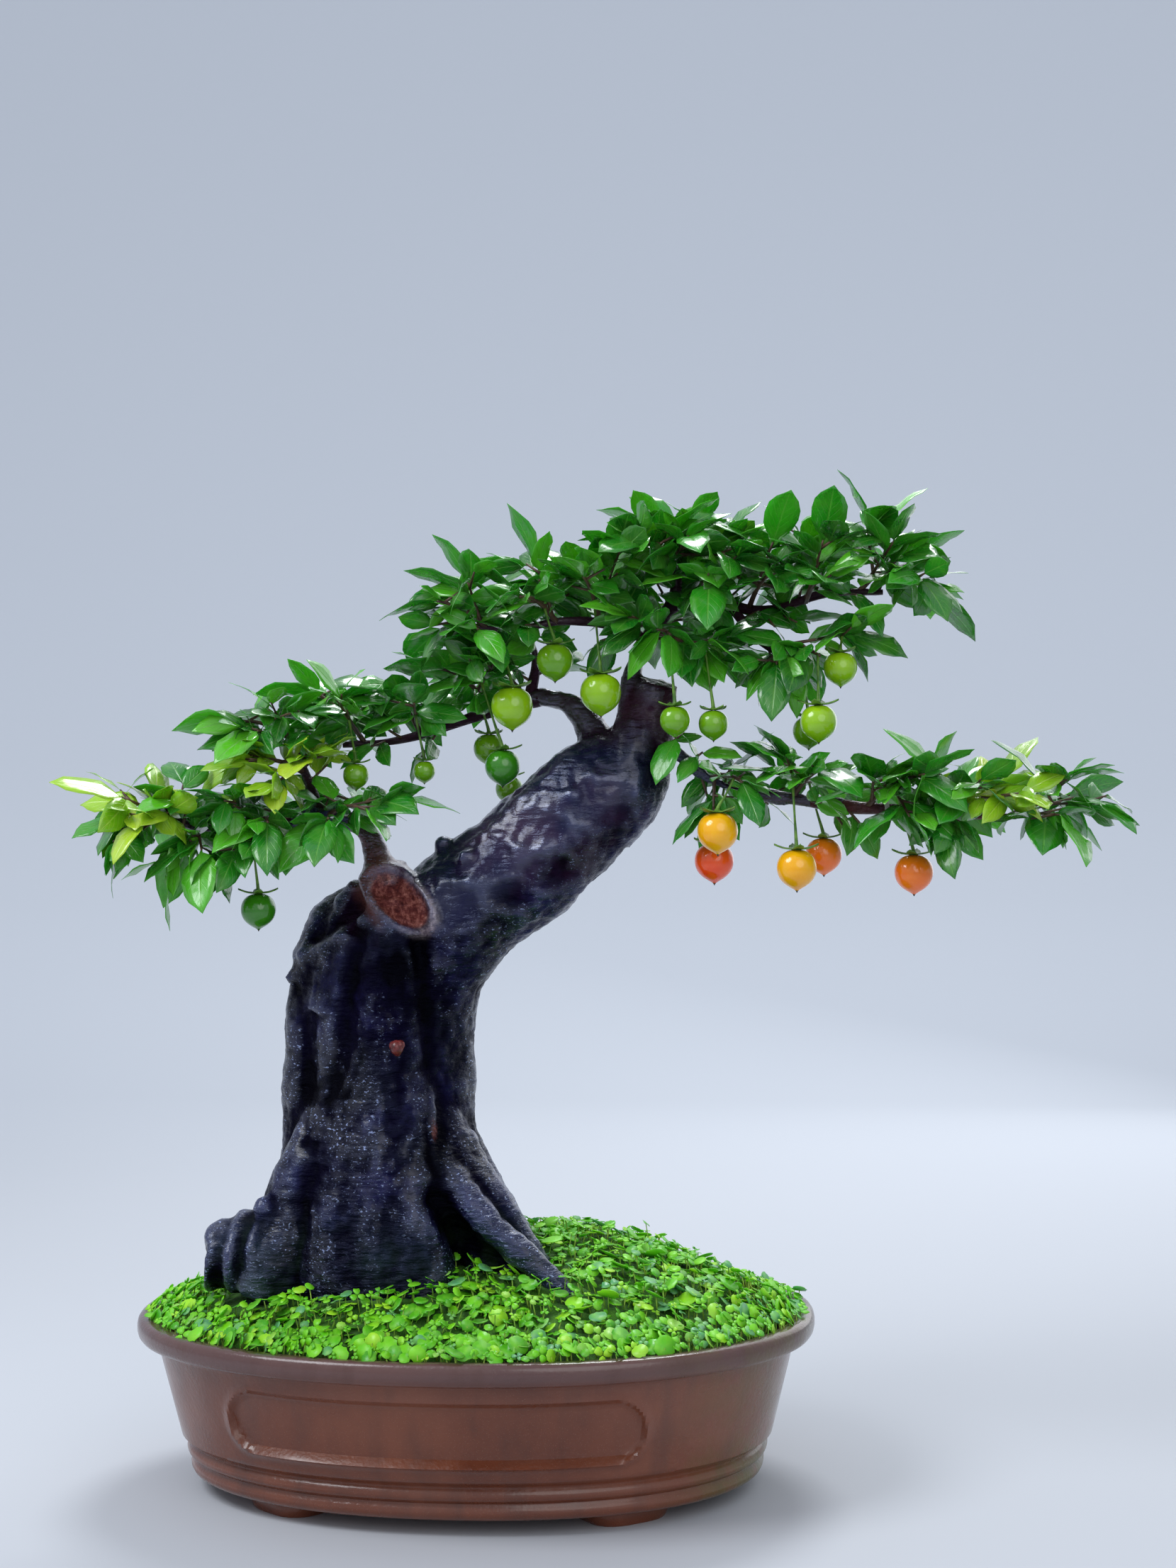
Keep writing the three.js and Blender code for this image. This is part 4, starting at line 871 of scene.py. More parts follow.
def bark():
    finish = newFinish("wet_dark_bark")
    ridge_and_painted_shade = shareOf(finish, "ridge_and_painted_shade")
    polish = shareOf(finish, "polish")
    height = axisOf(finish, "Z")
    cloud = cloudOf(finish, 26.0, 7.0, 0.65)
    # Painted shade: the base colour is darker in hollows and paler on ridges, following the raised
    # share
    lift = times(finish, minus(finish, ridge_and_painted_shade, 0.55), 0.5)
    base = ramp(finish, plus(finish, cloud, lift), [
        (0.30, (0.0008, 0.0005, 0.002, 1)), (0.52, (0.003, 0.002, 0.013, 1)),
        (0.74, (0.010, 0.009, 0.060, 1))])
    base = blendTones(finish, times(finish, polish, 0.6), base, (0.007, 0.0055, 0.036, 1))
    redPatches = ramp(finish, cloudOf(finish, 17.0, 5.0, 0.6), [(0.5, 0.0), (0.68, 0.8)])
    redReach = times(finish, span(finish, height, 0.25, 0.36), redPatches)
    base = blendTones(finish, redReach, base, (0.030, 0.008, 0.030, 1))
    young = times(finish, shareOf(finish, "young"), 0.85)
    base = blendTones(finish, young, base, (0.042, 0.012, 0.022, 1))
    collarTone = ramp(finish, cloud, [
        (0.35, (0.020, 0.006, 0.010, 1)), (0.6, (0.125, 0.040, 0.030, 1))])
    base = blendTones(finish, times(finish, shareOf(finish, "collar"), 0.9), base, collarTone)
    # Pale bluish specks, partly lichen and partly painted glints of wet bark, thick on the lower
    # trunk and under the arm
    scratch = cloudOf(finish, 1.0, 4.0, stretch=(130, 130, 420))
    glintAndLichenSpecks = ramp(finish, cloudOf(finish, 560.0, 2.0, 0.6, (1, 1, 1.8)),
                 [(0.60, 0.0), (0.66, 1.0)])
    patches = plus(finish, cloudOf(finish, 33.0, 4.0, 0.7), times(finish, lift, 1.6))
    lichenAndPaintedGlints = times(finish, glintAndLichenSpecks, ramp(finish, patches, [(0.44, 0.0), (0.61, 1.0)]))
    lichenAndPaintedGlints = times(finish, lichenAndPaintedGlints, minus(finish, 1.0, polish))
    lichenAndPaintedGlints = times(finish, lichenAndPaintedGlints, span(finish, height, 0.42, 0.22))
    base = blendTones(finish, times(finish, lichenAndPaintedGlints, 0.9), base, (0.31, 0.38, 0.66, 1))
    low = times(finish, span(finish, height, 0.165, 0.1),
                ramp(finish, cloud, [(0.45, 0.0), (0.65, 0.7)]))
    base = blendTones(finish, low, base, (0.016, 0.036, 0.008, 1))
    scarCloud = cloudOf(finish, 210.0, 6.0, 0.75, (1.5, 1, 1))
    scarTone = ramp(finish, scarCloud, [
        (0.3, (0.025, 0.006, 0.008, 1)), (0.48, (0.11, 0.026, 0.022, 1)),
        (0.62, (0.28, 0.10, 0.080, 1)), (0.74, (0.50, 0.33, 0.29, 1))])
    base = blendTones(finish, shareOf(finish, "scar"), base, scarTone)
    lipTone = ramp(finish, scarCloud, [
        (0.35, (0.06, 0.035, 0.045, 1)), (0.65, (0.42, 0.34, 0.36, 1))])
    base = blendTones(finish, times(finish, shareOf(finish, "lip"), 0.8), base, lipTone)
    feed(finish, "Base Color", base)
    rough = ramp(finish, scratch, [(0.35, 0.26), (0.65, 0.52)])
    smoother = minus(finish, 1.0, times(finish, polish, 0.35))
    feed(finish, "Roughness", times(finish, rough, smoother))
    shine = ramp(finish, ridge_and_painted_shade, [(0.4, 0.03), (0.62, 0.2), (0.85, 0.8)])
    feed(finish, "Specular IOR Level", plus(finish, shine, times(finish, polish, 0.2)))
    feed(finish, "Specular Tint", (0.52, 0.64, 1.0, 1))
    wet = ramp(finish, patches, [(0.47, 0.0), (0.64, 0.6)])
    feed(finish, "Coat Weight", plus(finish, wet, times(finish, polish, 0.2)))
    feed(finish, "Coat Roughness", 0.22)
    bumps = plus(finish, scratch, times(finish, cloud, 1.6))
    bumps = plus(finish, bumps, times(finish, lichenAndPaintedGlints, 0.4))
    bumps = times(finish, bumps, minus(finish, 1.0, times(finish, polish, 0.6)))
    relief(finish, bumps, 0.0026, 1.0)
    film = addNode(finish, "Bump", {"Height": bumps, "Strength": 0.5, "Distance": 0.0012})
    feed(finish, "Coat Normal", film.outputs["Normal"])
    return finish


# Bud on the middle strand, and the thread tied round the right branch

bud = {"at": (-30.7, -50.8, 233.6), "stretch": (1, 1.2, 1.15), "voxel": 0.0003,
       "beads": [(0, 0, 3.5), (2.0, 1.4, 2.3), (-1.9, 1.0, 2.1), (0.3, -2.3, 2.0)]}


def makeBud():
    parts = []
    x, y, z = bud["at"]
    for dx, dz, size in bud["beads"]:
        deselectAll()
        bpy.ops.mesh.primitive_ico_sphere_add(subdivisions=3, radius=size * mm,
                                              location=place(x + dx, y, z + dz))
        bead = bpy.context.object
        bead.scale = bud["stretch"]
        finishMesh(bead)
        parts.append(bead)
    cluster = joinPieces(parts, "trunk_bud")
    applyModifier(cluster, "REMESH", mode="VOXEL", voxel_size=bud["voxel"])
    applyModifier(cluster, "SMOOTH", factor=0.5, iterations=3)
    finishMesh(cluster)
    dress(cluster, mottledFinish("red_brown_bud", 500.0, [
        (0.35, (0.05, 0.005, 0.006, 1)), (0.65, (0.19, 0.028, 0.026, 1))], 0.3, (0.0003, 0.5)))
    settle(cluster, "bark")
    print("bud made")


tie = {"at": (221, -24.5, 353.5), "radius": 3.5, "thread": 0.42, "turns": 3, "pitch": 0.8,
       "steps": 12, "firstX": -1.2,
       "ends": [[(0, -3.4, -1, 0.5), (1, -4.6, -2.4, 0.4), (1.6, -4.4, -6, 0.3)],
                [(0, -3.4, -1, 0.5), (-1, -4.8, -2.0, 0.4), (-2.4, -4.7, -4.6, 0.3)]]}


def makeTie():
    x, y, z = tie["at"]
    run = []
    for k in range(tie["turns"] * tie["steps"] + 1):
        turn = k / tie["steps"] * math.tau
        run.append((x + tie["firstX"] + tie["pitch"] * k / tie["steps"],
                    y + tie["radius"] * math.cos(turn), z + tie["radius"] * math.sin(turn),
                    tie["thread"]))
    ends = [[(x + dx, y + dy, z + dz, width) for dx, dy, dz, width in end]
            for end in tie["ends"]]
    thread = tubes("white_thread_tie", [run, *ends], 2, 3)
    finishMesh(thread)
    finish = newFinish("white_thread")
    twist = addNode(finish, "TexWave", {"Scale": 900.0, "Distortion": 1.0},
                    bands_direction="DIAGONAL")
    feed(finish, "Base Color", ramp(finish, twist.outputs["Fac"], [
        (0.2, (0.55, 0.54, 0.5, 1)), (0.8, (0.86, 0.85, 0.8, 1))]))
    feed(finish, "Roughness", 0.85)
    relief(finish, twist.outputs["Fac"], 0.0002, 0.6)
    dress(thread, finish)
    settle(thread, "thread", "thread_tie")
    print("thread made")


# Leafy sprays: where each one grows, how far its leaves lift, and the tips of its twigs

sprays = {
    "apex_front": ([110, 2, 480], 0,
                   [[96, -40, 492], [122, -42, 494], [140, -26, 486], [108, -22, 494]]),
    "apex_back": ([108, 2, 492], 0,
                  [[116, 38, 496], [88, 24, 492], [100, 12, 505], [124, 2, 506]]),
    "left_pad_inner": ([72, -10, 454], 0,
                       [[68, -46, 474], [84, -30, 486], [62, 16, 486], [84, 26, 476]]),
    "left_pad_middle": ([50, -15, 453], 0,
                        [[36, -52, 464], [42, -28, 482], [40, 14, 484], [52, 40, 468]]),
    "left_pad_outer": ([14, -21, 450], -0.1,
                       [[-10, -36, 464], [6, -34, 474], [-6, -8, 474], [-12, -14, 450],
                        [16, -48, 446]]),
    "centre_low": ([95, -1, 443], -0.3,
                   [[112, -42, 444], [130, -28, 440], [140, -8, 436], [92, -36, 454]]),
    "centre_back": ([97, 1, 446], -0.1, [[116, 38, 456], [134, 24, 444], [90, 34, 464]]),
    "centre_right": ([122, 0, 465], 0,
                     [[132, -40, 470], [146, -34, 484], [126, 28, 486], [138, -10, 496]]),
    "right_pad_inner": ([150, -5, 459], 0.05,
                        [[164, -38, 474], [164, -22, 492], [158, 26, 488], [172, 30, 470]]),
    "right_pad_middle": ([180, -8, 462], 0.1,
                         [[190, -42, 470], [190, -26, 492], [182, 12, 500], [200, 26, 482]]),
    "right_pad_outer": ([207, -8, 466], 0.05,
                        [[238, -8, 486], [226, -32, 490], [212, -16, 502], [240, -28, 470],
                         [242, 10, 466]]),
    "right_low": ([162, -12, 438], -0.45,
                  [[188, -34, 432], [166, -38, 428], [204, -22, 444], [178, 12, 434]]),
    "left_reach": ([10, 16, 409], 0,
                   [[-12, -8, 430], [8, -22, 432], [22, -14, 442], [2, 38, 426]]),
    "left_fork": ([-29, 14, 397], -0.1, [[-46, -8, 422], [-26, -20, 412], [-44, 38, 414]]),
    "left_mid": ([-58, 10, 390], 0,
                 [[-86, 2, 420], [-66, -26, 414], [-66, 36, 412], [-92, 22, 404]]),
    "low_rise_top": ([-98, -3, 395], -0.05,
                     [[-122, -12, 404], [-108, -30, 398], [-110, 24, 404], [-90, -26, 408]]),
    "low_inner": ([-74, -22, 352], -0.3,
                  [[-46, -46, 356], [-66, -52, 350], [-66, 6, 362], [-40, -28, 362]]),
    "low_middle": ([-107, -26, 348], -0.35,
                   [[-96, -56, 350], [-116, -50, 362], [-102, 8, 358], [-116, -54, 334]]),
    "low_outer": ([-140, -30, 348], -0.35,
                  [[-146, -52, 362], [-132, -54, 336], [-136, 0, 358], [-150, -44, 330]]),
    "low_tip": ([-157, -32, 353], -0.6, [[-178, -36, 350], [-174, -52, 342], [-168, -8, 354]]),
    "right_first": ([130, -17, 370], -0.35, [[148, -40, 368], [132, -28, 352], [138, 8, 370]]),
    "right_second": ([172, -21, 359], -0.1, [[188, -38, 374], [172, -34, 376], [184, 8, 368]]),
    "right_third": ([210, -24, 354], -0.15,
                    [[236, -44, 370], [214, -42, 368], [222, 6, 366], [232, -54, 350]]),
    "right_fourth": ([243, -27, 351], -0.2,
                     [[268, -46, 364], [250, -50, 344], [256, 2, 362], [246, -40, 372]]),
    "right_tip": ([284, -30, 349], -0.15,
                  [[322, -28, 354], [306, -52, 350], [302, -2, 356], [300, -34, 364]]),
    "young_low": ([-88, -10, 376], 0.1, [[-112, -34, 382], [-96, -44, 370], [-72, -36, 384]]),
    "young_far_left": ([-151, -31, 351], -0.1, [[-160, -64, 352], [-172, -62, 364]]),
    "young_right": ([266, -29, 350], 0.05, [[284, -56, 360], [278, -16, 366]]),
}
fruits = [
    ([-107, -36, 304], 18.6, "low_middle", 24, "deep_green"),
    ([-59, -14, 374], 14, "left_mid", 14, "green"),
    ([-24, -4, 376], 11.8, "left_fork", 22, "green"),
    ([8, 14, 388], 16.8, "left_reach", 14, "green"),
    ([27, -24, 409], 22.2, "left_reach", 16, "light_green"),
    ([19, -8, 378], 19, "left_reach", 30, "deep_green"),
    ([16, 32, 366], 15.2, "left_reach", 38, "green"),
    ([51, -32, 432], 19.2, "left_pad_middle", 16, "green"),
    ([75, -34, 415], 21.6, "left_pad_inner", 24, "light_green"),
    ([114, -42, 400], 15.7, "centre_low", 30, "green"),
    ([133, -34, 398], 15.4, "centre_low", 26, "green"),
    ([198, -28, 426], 17.5, "right_low", 12, "light_green"),
    ([187, -44, 398], 18.7, "right_low", 26, "light_green"),
    ([181, -16, 394], 16.6, "right_low", 30, "green"),
    ([135, -40, 343], 21.1, "right_first", 12, "yellow"),
    ([131, -12, 327], 20.7, "right_first", 26, "red"),
    ([175, -40, 324], 20.6, "right_second", 26, "yellow"),
    ([188, -14, 330], 19, "right_second", 24, "orange"),
    ([234, -30, 321], 19.9, "right_third", 22, "orange"),
]
leafGrowth = {"shortest": 27, "spread": 13, "step": 23.5, "gap": 4.2, "tries": 9, "arch": 0.2,
              "rise": 0.7, "roll": 1.3, "inward": 0, "endTurn": 0.15, "seed": 9137}
moreLeaves = {"shortest": 16, "spread": 15, "step": 6.5, "gap": 0.7, "tries": 12,
              "rise": 1.7, "roll": 2.3, "inward": 0.1, "endTurn": -0.5, "seed": 551}
shoots = {"from": ("low", "lowRise", "left", "leftRise", "crown", "crownLeft", "crownRight",
                   "crownDrop", "right"),
          "thickest": 3.9, "step": 13, "shortest": 12, "spread": 9, "onTwigs": (0.5, 0.85),
          "seed": 88}
twigSizes = {"stem": (1.7, 1.35, 1.05, 0.7), "side": (1.1, 0.9, 0.75, 0.55), "shoot": (0.9, 0.5)}


def makeRandom(seed):
    state = [seed & 0xFFFFFFFF]

    def draw():
        state[0] = (state[0] + 0x6D2B79F5) & 0xFFFFFFFF
        t = state[0]
        t = ((t ^ (t >> 15)) * (t | 1)) & 0xFFFFFFFF
        t ^= (t + (((t ^ (t >> 7)) * (t | 61)) & 0xFFFFFFFF)) & 0xFFFFFFFF
        return ((t ^ (t >> 14)) & 0xFFFFFFFF) / 4294967296
    return draw


def unit(v):
    return v / np.linalg.norm(v)


upward = np.array([0.0, 0.0, 1.0])


def twigPoint(twig, t):
    root, tip, arch = twig
    bend = root + (tip - root) * 0.5 + upward * arch * np.linalg.norm(tip - root)
    return root * (1 - t) ** 2 + bend * 2 * t * (1 - t) + tip * t * t


def twigsOf(root, tips):
    stem = (np.array(root, float), np.array(tips[0], float), leafGrowth["arch"])
    twigs = [stem]
    for i, tip in enumerate(tips[1:]):
        start = 0.12 + 0.6 * i / (len(tips) - 1)
        twigs.append((twigPoint(stem, start), np.array(tip, float), 0.0))
    return twigs


def drawLeaf(twig, t, sign, lift, values, draw):
    base = twigPoint(twig, t)
    ahead = min(t + 0.05, 1)
    forward = unit(twigPoint(twig, ahead) - twigPoint(twig, ahead - 0.1))
    side = unit(np.cross(forward, upward))
    length = values["shortest"] + values["spread"] * draw()
    width = length * (0.4 + 0.1 * draw())
    swing = sign * (0.65 + 0.6 * draw())
    rise = lift + (draw() - 0.5) * values["rise"]
    roll = (draw() - 0.5) * values["roll"]
    droop = 0.1 + 0.22 * draw()
    along = unit(forward * math.cos(swing) + side * math.sin(swing) + upward * rise)
    upright = unit(upward - along * (upward @ along))
    level = np.cross(upright, along)
    face = upright * math.cos(roll) + level * math.sin(roll)
    return {"base": base, "along": along, "across": np.cross(face, along), "face": face,
            "length": length, "width": width, "droop": droop}


def leafPlaces(leaf, u, v):
    u = np.asarray(u, float)[:, None]
    v = np.asarray(v, float)[:, None]
    return (leaf["base"] + leaf["along"] * leaf["length"] * u + leaf["across"] * v * leaf["width"]
            - leaf["face"] * leaf["droop"] * leaf["length"] * u * u)


probeRows = [(u, v) for u in (0.3, 0.42, 0.54, 0.66, 0.78, 0.92)
             for v in (-0.42 * min(1, (1 - u) * 2), 0, 0.42 * min(1, (1 - u) * 2))]


def segmentDistance(points, starts, ends):
    run = ends - starts
    size = np.maximum((run * run).sum(-1), 1e-12)
    share = np.clip(((points[:, None] - starts) * run).sum(-1) / size, 0, 1)
    return np.linalg.norm(points[:, None] - (starts + run * share[..., None]), axis=-1)


def leafFits(leaf, twig, grown, obstacles, gap):
    leaf["probes"] = leafPlaces(leaf, *zip(*probeRows))
    leaf["centre"] = leafPlaces(leaf, [0.5], [0])[0]
    for other in grown:
        reach = 0.55 * (other["length"] + leaf["length"])
        if np.linalg.norm(other["centre"] - leaf["centre"]) > reach:
            continue
        gaps = np.linalg.norm(other["probes"][:, None] - leaf["probes"], axis=-1)
        if gaps.min() <= gap:
            return False
    starts, ends, radii, owners = obstacles
    apart = segmentDistance(leaf["probes"], starts, ends).min(0)
    middle = segmentDistance(leaf["centre"][None], starts, ends)[0]
    near = (middle <= leaf["length"] * 0.6 + radii) & (owners != id(twig))
    return not np.any(near & (apart <= radii))


def hidesFruit(leaf):  # a blade straight in front of a fruit
    for (x, y, z), size, *_ in fruits:
        over = np.abs(leaf["probes"][:, [0, 2]] - (x, z)).max(1) < size * 0.5
        if leaf["centre"][1] < y and over.mean() > 0.15:
            return True
    return False


def growLeaves(plan, extra, obstacles):  # the large leaves first, then small ones between
    grown = []
    for values in (leafGrowth, moreLeaves):
        draw = makeRandom(values["seed"])
        for name, (twigs, lift) in plan.items():
            for twig in twigs + (extra[name] if values is moreLeaves else []):
                length = np.linalg.norm(twig[0] - twig[1])
                count = 1 + math.floor(0.72 * length / values["step"] + 0.5)
                for i in range(count):
                    t = 0.97 - 0.72 * i / count - values["inward"]
                    sign = values["endTurn"] if i == 0 else (i % 2) * 2 - 1
                    for _ in range(values["tries"]):
                        leaf = drawLeaf(twig, t, sign, lift, values, draw)
                        if leafFits(leaf, twig, grown, obstacles, values["gap"]):
                            leaf["spray"] = name
                            leaf["number"] = len(grown)
                            grown.append(leaf)
                            break
    return [leaf for leaf in grown if not hidesFruit(leaf)]


# Short shoots from the thin branches, each given to the nearest spray, and from its twigs
def growShoots():
    draw = makeRandom(shoots["seed"])
    grown = {name: [] for name in sprays}
    for branch in shoots["from"]:
        run = [np.array(p, float) for p in branches[branch]]
        for a, b in zip(run, run[1:]):
            if b[3] > shoots["thickest"]:
                continue
            along = unit((b - a)[:3])
            side = unit(np.cross(along, upward))
            over = np.cross(side, along)
            count = max(1, round(np.linalg.norm((b - a)[:3]) / shoots["step"]))
            for k in range(count):
                root = (a + (b - a) * (k + draw()) / count)[:3]
                turn = draw() * math.tau
                out = along * 0.5 + side * math.cos(turn) + over * (0.3 + 0.8 * math.sin(turn))
                tip = root + unit(out) * (shoots["shortest"] + shoots["spread"] * draw())
                owner = min(sprays, key=lambda n: np.linalg.norm(root - np.array(sprays[n][0])))
                grown[owner].append((root, tip, 0.0))
    for name, (root, _, tips) in sprays.items():
        for twig in twigsOf(root, tips):
            for share in shoots["onTwigs"]:
                start = twigPoint(twig, share)
                turn = draw() * math.tau
                out = unit(twig[1] - twig[0]) * 0.5 + np.array([
                    math.cos(turn), math.sin(turn), 0.5 * draw() - 0.1])
                length = shoots["shortest"] * (0.7 + 0.6 * draw())
                grown[name].append((start, start + unit(out) * length, 0.0))
    return grown


def stalkEnds(fruit, twigs):
    (x, y, z), size, _, stalk, _ = fruit
    foot = np.array([x, y, z + 0.9 * size / 2 + 1.2])
    wanted = foot + upward * stalk
    places = [twigPoint(twig, k / 20) for twig in twigs for k in range(6, 20)]
    return foot, min(places, key=lambda p: np.linalg.norm(p - wanted))


def listObstacles(plan, stalks):
    rows = []
    for run in [*strands.values(), *branches.values()]:
        for a, b in zip(run, run[1:]):
            rows.append((a[:3], b[:3], max(a[3], b[3]) + 1, 0))
    for at, size, *_ in fruits:
        rows.append((at, at, size * 0.62 + 1.5, 0))
    for name, (twigs, _) in plan.items():
        rows += [(a, b, 2, 0) for a, b in stalks[name]]
        for twig in twigs:
            places = [twigPoint(twig, t) for t in (0, 0.5, 1)]
            rows.append((places[0], places[1], 2.4, id(twig)))
            rows.append((places[1], places[2], 2.2, id(twig)))
    return (np.array([r[0] for r in rows], float), np.array([r[1] for r in rows], float),
            np.array([r[2] for r in rows], float), np.array([r[3] for r in rows]))


# One blade, drawn once from a grid: rows from base to tip, folded along its rib

blade = {
    "rows": [(0.0, 0.02), (0.07, 0.06), (0.16, 0.30), (0.3, 0.485), (0.48, 0.555),
             (0.66, 0.515), (0.81, 0.36), (0.91, 0.16), (1.0, 0.004)],
    "fold": 0.16, "curlEdge": 0.10, "thickness": 0.012, "wave": 0.11, "tipCurl": 0.10,
}


def makeBlade():
    deselectAll()
    rows = blade["rows"]
    bpy.ops.mesh.primitive_grid_add(x_subdivisions=len(rows) - 1, y_subdivisions=4, size=2)
    leaf = bpy.context.object
    leaf.name = "leaf_blade"
    for vertex in leaf.data.vertices:
        row = round((vertex.co.x + 1) / 2 * (len(rows) - 1))
        u, half = rows[row]
        v = vertex.co.y
        vertex.co = (u, v * half, blade["fold"] * abs(v) * half
                     - blade["curlEdge"] * v * v * half * (0.4 + u))
    applyModifier(leaf, "SOLIDIFY", thickness=blade["thickness"], offset=0)
    leaf.hide_render = True
    return leaf


def copyBlade(template, leaf, random):
    mesh = template.data.copy()
    u, v, w = readPoints(mesh).T
    length, width, number = leaf["length"], leaf["width"], leaf["number"]
    wave = blade["wave"] * np.sin(u * 11 + number + 2 * np.sign(v)) * np.abs(v)
    tip = blade["tipCurl"] * np.clip(u - 0.72, 0, 1) ** 1.5 * (1 + (number % 5) * 0.35)
    up = (w * 0.9 + wave) * width - (leaf["droop"] * u * u + tip) * length
    places = (leaf["base"] + leaf["along"] * (length * u)[:, None]
              + leaf["across"] * (v * width)[:, None] + leaf["face"] * up[:, None])
    return addCopy("blade", mesh, places, random())


calyxShape = {"lobes": 4, "reach": 1.12, "half": 0.36, "curl": 0.34, "thickness": 0.0005,
              "collar": 0.26}


def makeCalyx(fruit, top):
    (x, y, z), size, *_ = fruit
    r = size / 2
    seat = z + 0.9 * r + 0.35
    lobes = []
    for k in range(calyxShape["lobes"]):
        deselectAll()
        bpy.ops.mesh.primitive_grid_add(x_subdivisions=6, y_subdivisions=4, size=2)
        lobe = bpy.context.object
        for vertex in lobe.data.vertices:
            u = (vertex.co.x + 1) / 2
            half = calyxShape["half"] * (1 - u) ** 0.6 * (0.55 + u * 1.2) * vertex.co.y
            curl = calyxShape["curl"] * max(0, u - 0.45) ** 1.4
            lift = 0.10 * u + curl - abs(vertex.co.y) * 0.05
            vertex.co = Vector((u * calyxShape["reach"], half, lift)) * (r * mm)
        applyModifier(lobe, "SOLIDIFY", thickness=calyxShape["thickness"], offset=0)
        lobe.rotation_euler.z = x * 0.1 + k * math.tau / calyxShape["lobes"]
        lobe.location = place(x, y, seat + 0.4)
        finishMesh(lobe)
        lobes.append(lobe)
    foot = np.array([x, y, seat + 0.2])
    middle = (foot + top) / 2
    run = [(*foot, calyxShape["collar"] * r), (x, y, seat + 1.6, 1.0), (*middle, 0.55),
           (*top, 0.75)]
    stalk = tubes("stalk", [run], 2, 4)
    finishMesh(stalk)
    return joinPieces([*lobes, stalk], "calyx")


def twigRuns(twigs, extra):
    runs = []
    for order, twig in enumerate(twigs):
        sizes = twigSizes["side" if order else "stem"]
        runs.append([(*twigPoint(twig, t), r) for t, r in zip((0, 0.35, 0.7, 1), sizes)])
    start, end = twigSizes["shoot"]
    return runs + [[(*root, start), (*tip, end)] for root, tip, _ in extra]


def makeSprays():
    plan = {name: (twigsOf(root, tips), lift) for name, (root, lift, tips) in sprays.items()}
    stalks = {name: [] for name in plan}
    for fruit in fruits:
        stalks[fruit[2]].append(stalkEnds(fruit, plan[fruit[2]][0]))
    extra = growShoots()
    leaves = growLeaves(plan, extra, listObstacles(plan, stalks))
    template = makeBlade()
    draw = makeRandom(77)
    finishes = {kind: leafFinish(kind) for kind in leafTones}
    twigFinish = mottledFinish("purple_brown_twig", 160.0, [
        (0.35, (0.05, 0.022, 0.018, 1)), (0.65, (0.13, 0.075, 0.04, 1))], 0.5, (0.0004, 0.6))
    calyxFinish = mottledFinish("green_calyx", 240.0, [
        (0.35, (0.05, 0.15, 0.015, 1)), (0.65, (0.16, 0.33, 0.04, 1))], 0.4, (0.0003, 0.4), 3.0)
    for name, (twigs, _) in plan.items():
        kind = "young_leaf" if name.startswith("young") else "leaf"
        own = [copyBlade(template, leaf, draw) for leaf in leaves if leaf["spray"] == name]
        foliage = joinPieces(own, "blades_" + name)
        dress(foliage, finishes[kind])
        stems = tubes("twigs_" + name, twigRuns(twigs, extra[name]), 1, 3)
        dress(stems, twigFinish)
        parts = [foliage, stems]
        for (_, top), fruit in zip(stalks[name], [f for f in fruits if f[2] == name]):
            calyx = makeCalyx(fruit, top)
            dress(calyx, calyxFinish)
            parts.append(calyx)
        spray = joinPieces(parts, "leafy_" + name)
        finishMesh(spray)
        settle(spray, kind, "spray_" + name)
    bpy.data.objects.remove(template)
    print("sprays made", len(leaves), "leaves")


leafTones = {
    "leaf": {"name": "glossy_leaf", "mottle": (0.09, 0.30, 0.02, 1), "veins": (0.15, 0.42, 0.06, 1),
             "blades": [(0.0, (0.006, 0.100, 0.008, 1)), (0.35, (0.012, 0.180, 0.010, 1)),
                        (0.7, (0.028, 0.290, 0.012, 1)), (1.0, (0.10, 0.48, 0.015, 1))]},
    "young_leaf": {"name": "young_leaf", "mottle": (0.36, 0.58, 0.03, 1),
                   "veins": (0.50, 0.72, 0.10, 1),
                   "blades": [(0.0, (0.15, 0.39, 0.008, 1)), (0.5, (0.27, 0.54, 0.012, 1)),
                              (1.0, (0.46, 0.66, 0.03, 1))]},
}


def leafFinish(kind):
    tones = leafTones[kind]
    finish = newFinish(tones["name"])
    uv = addNode(finish, "UVMap", uv_map="UVMap").outputs["UV"]
    split = addNode(finish, "SeparateXYZ", {"Vector": uv})
    aside = maths(finish, "ABSOLUTE", minus(finish, split.outputs["Y"], 0.5))
    rib = ramp(finish, aside, [(0.0, 1.0), (0.045, 0.0)])
    slant = minus(finish, split.outputs["X"], times(finish, aside, 0.55))
    wave = maths(finish, "SINE", times(finish, slant, 62.0))
    vein = ramp(finish, wave, [(0.82, 0.0), (0.99, 1.0)])
    lines = maths(finish, "MAXIMUM", rib, times(finish, vein, 0.35))
    cloud = cloudOf(finish, 90.0, 3.0)
    base = ramp(finish, shareOf(finish, "tone"), tones["blades"])
    base = blendTones(finish, ramp(finish, cloud, [(0.4, 0.0), (0.7, 0.45)]), base,
                      tones["mottle"])
    feed(finish, "Base Color", blendTones(finish, times(finish, lines, 0.6), base,
                                          tones["veins"]))
    feed(finish, "Roughness", ramp(finish, cloud, [(0.35, 0.2), (0.65, 0.36)]))
    feed(finish, "Coat Weight", 0.5)
    feed(finish, "Coat Roughness", 0.1)
    glow(finish, 0.12, (0.3, 1.0, 0.1), 0.002)
    relief(finish, minus(finish, 1.0, lines), 0.0005, 0.5)
    return finish


# Fruit: a profile spun round once, then copied to each size

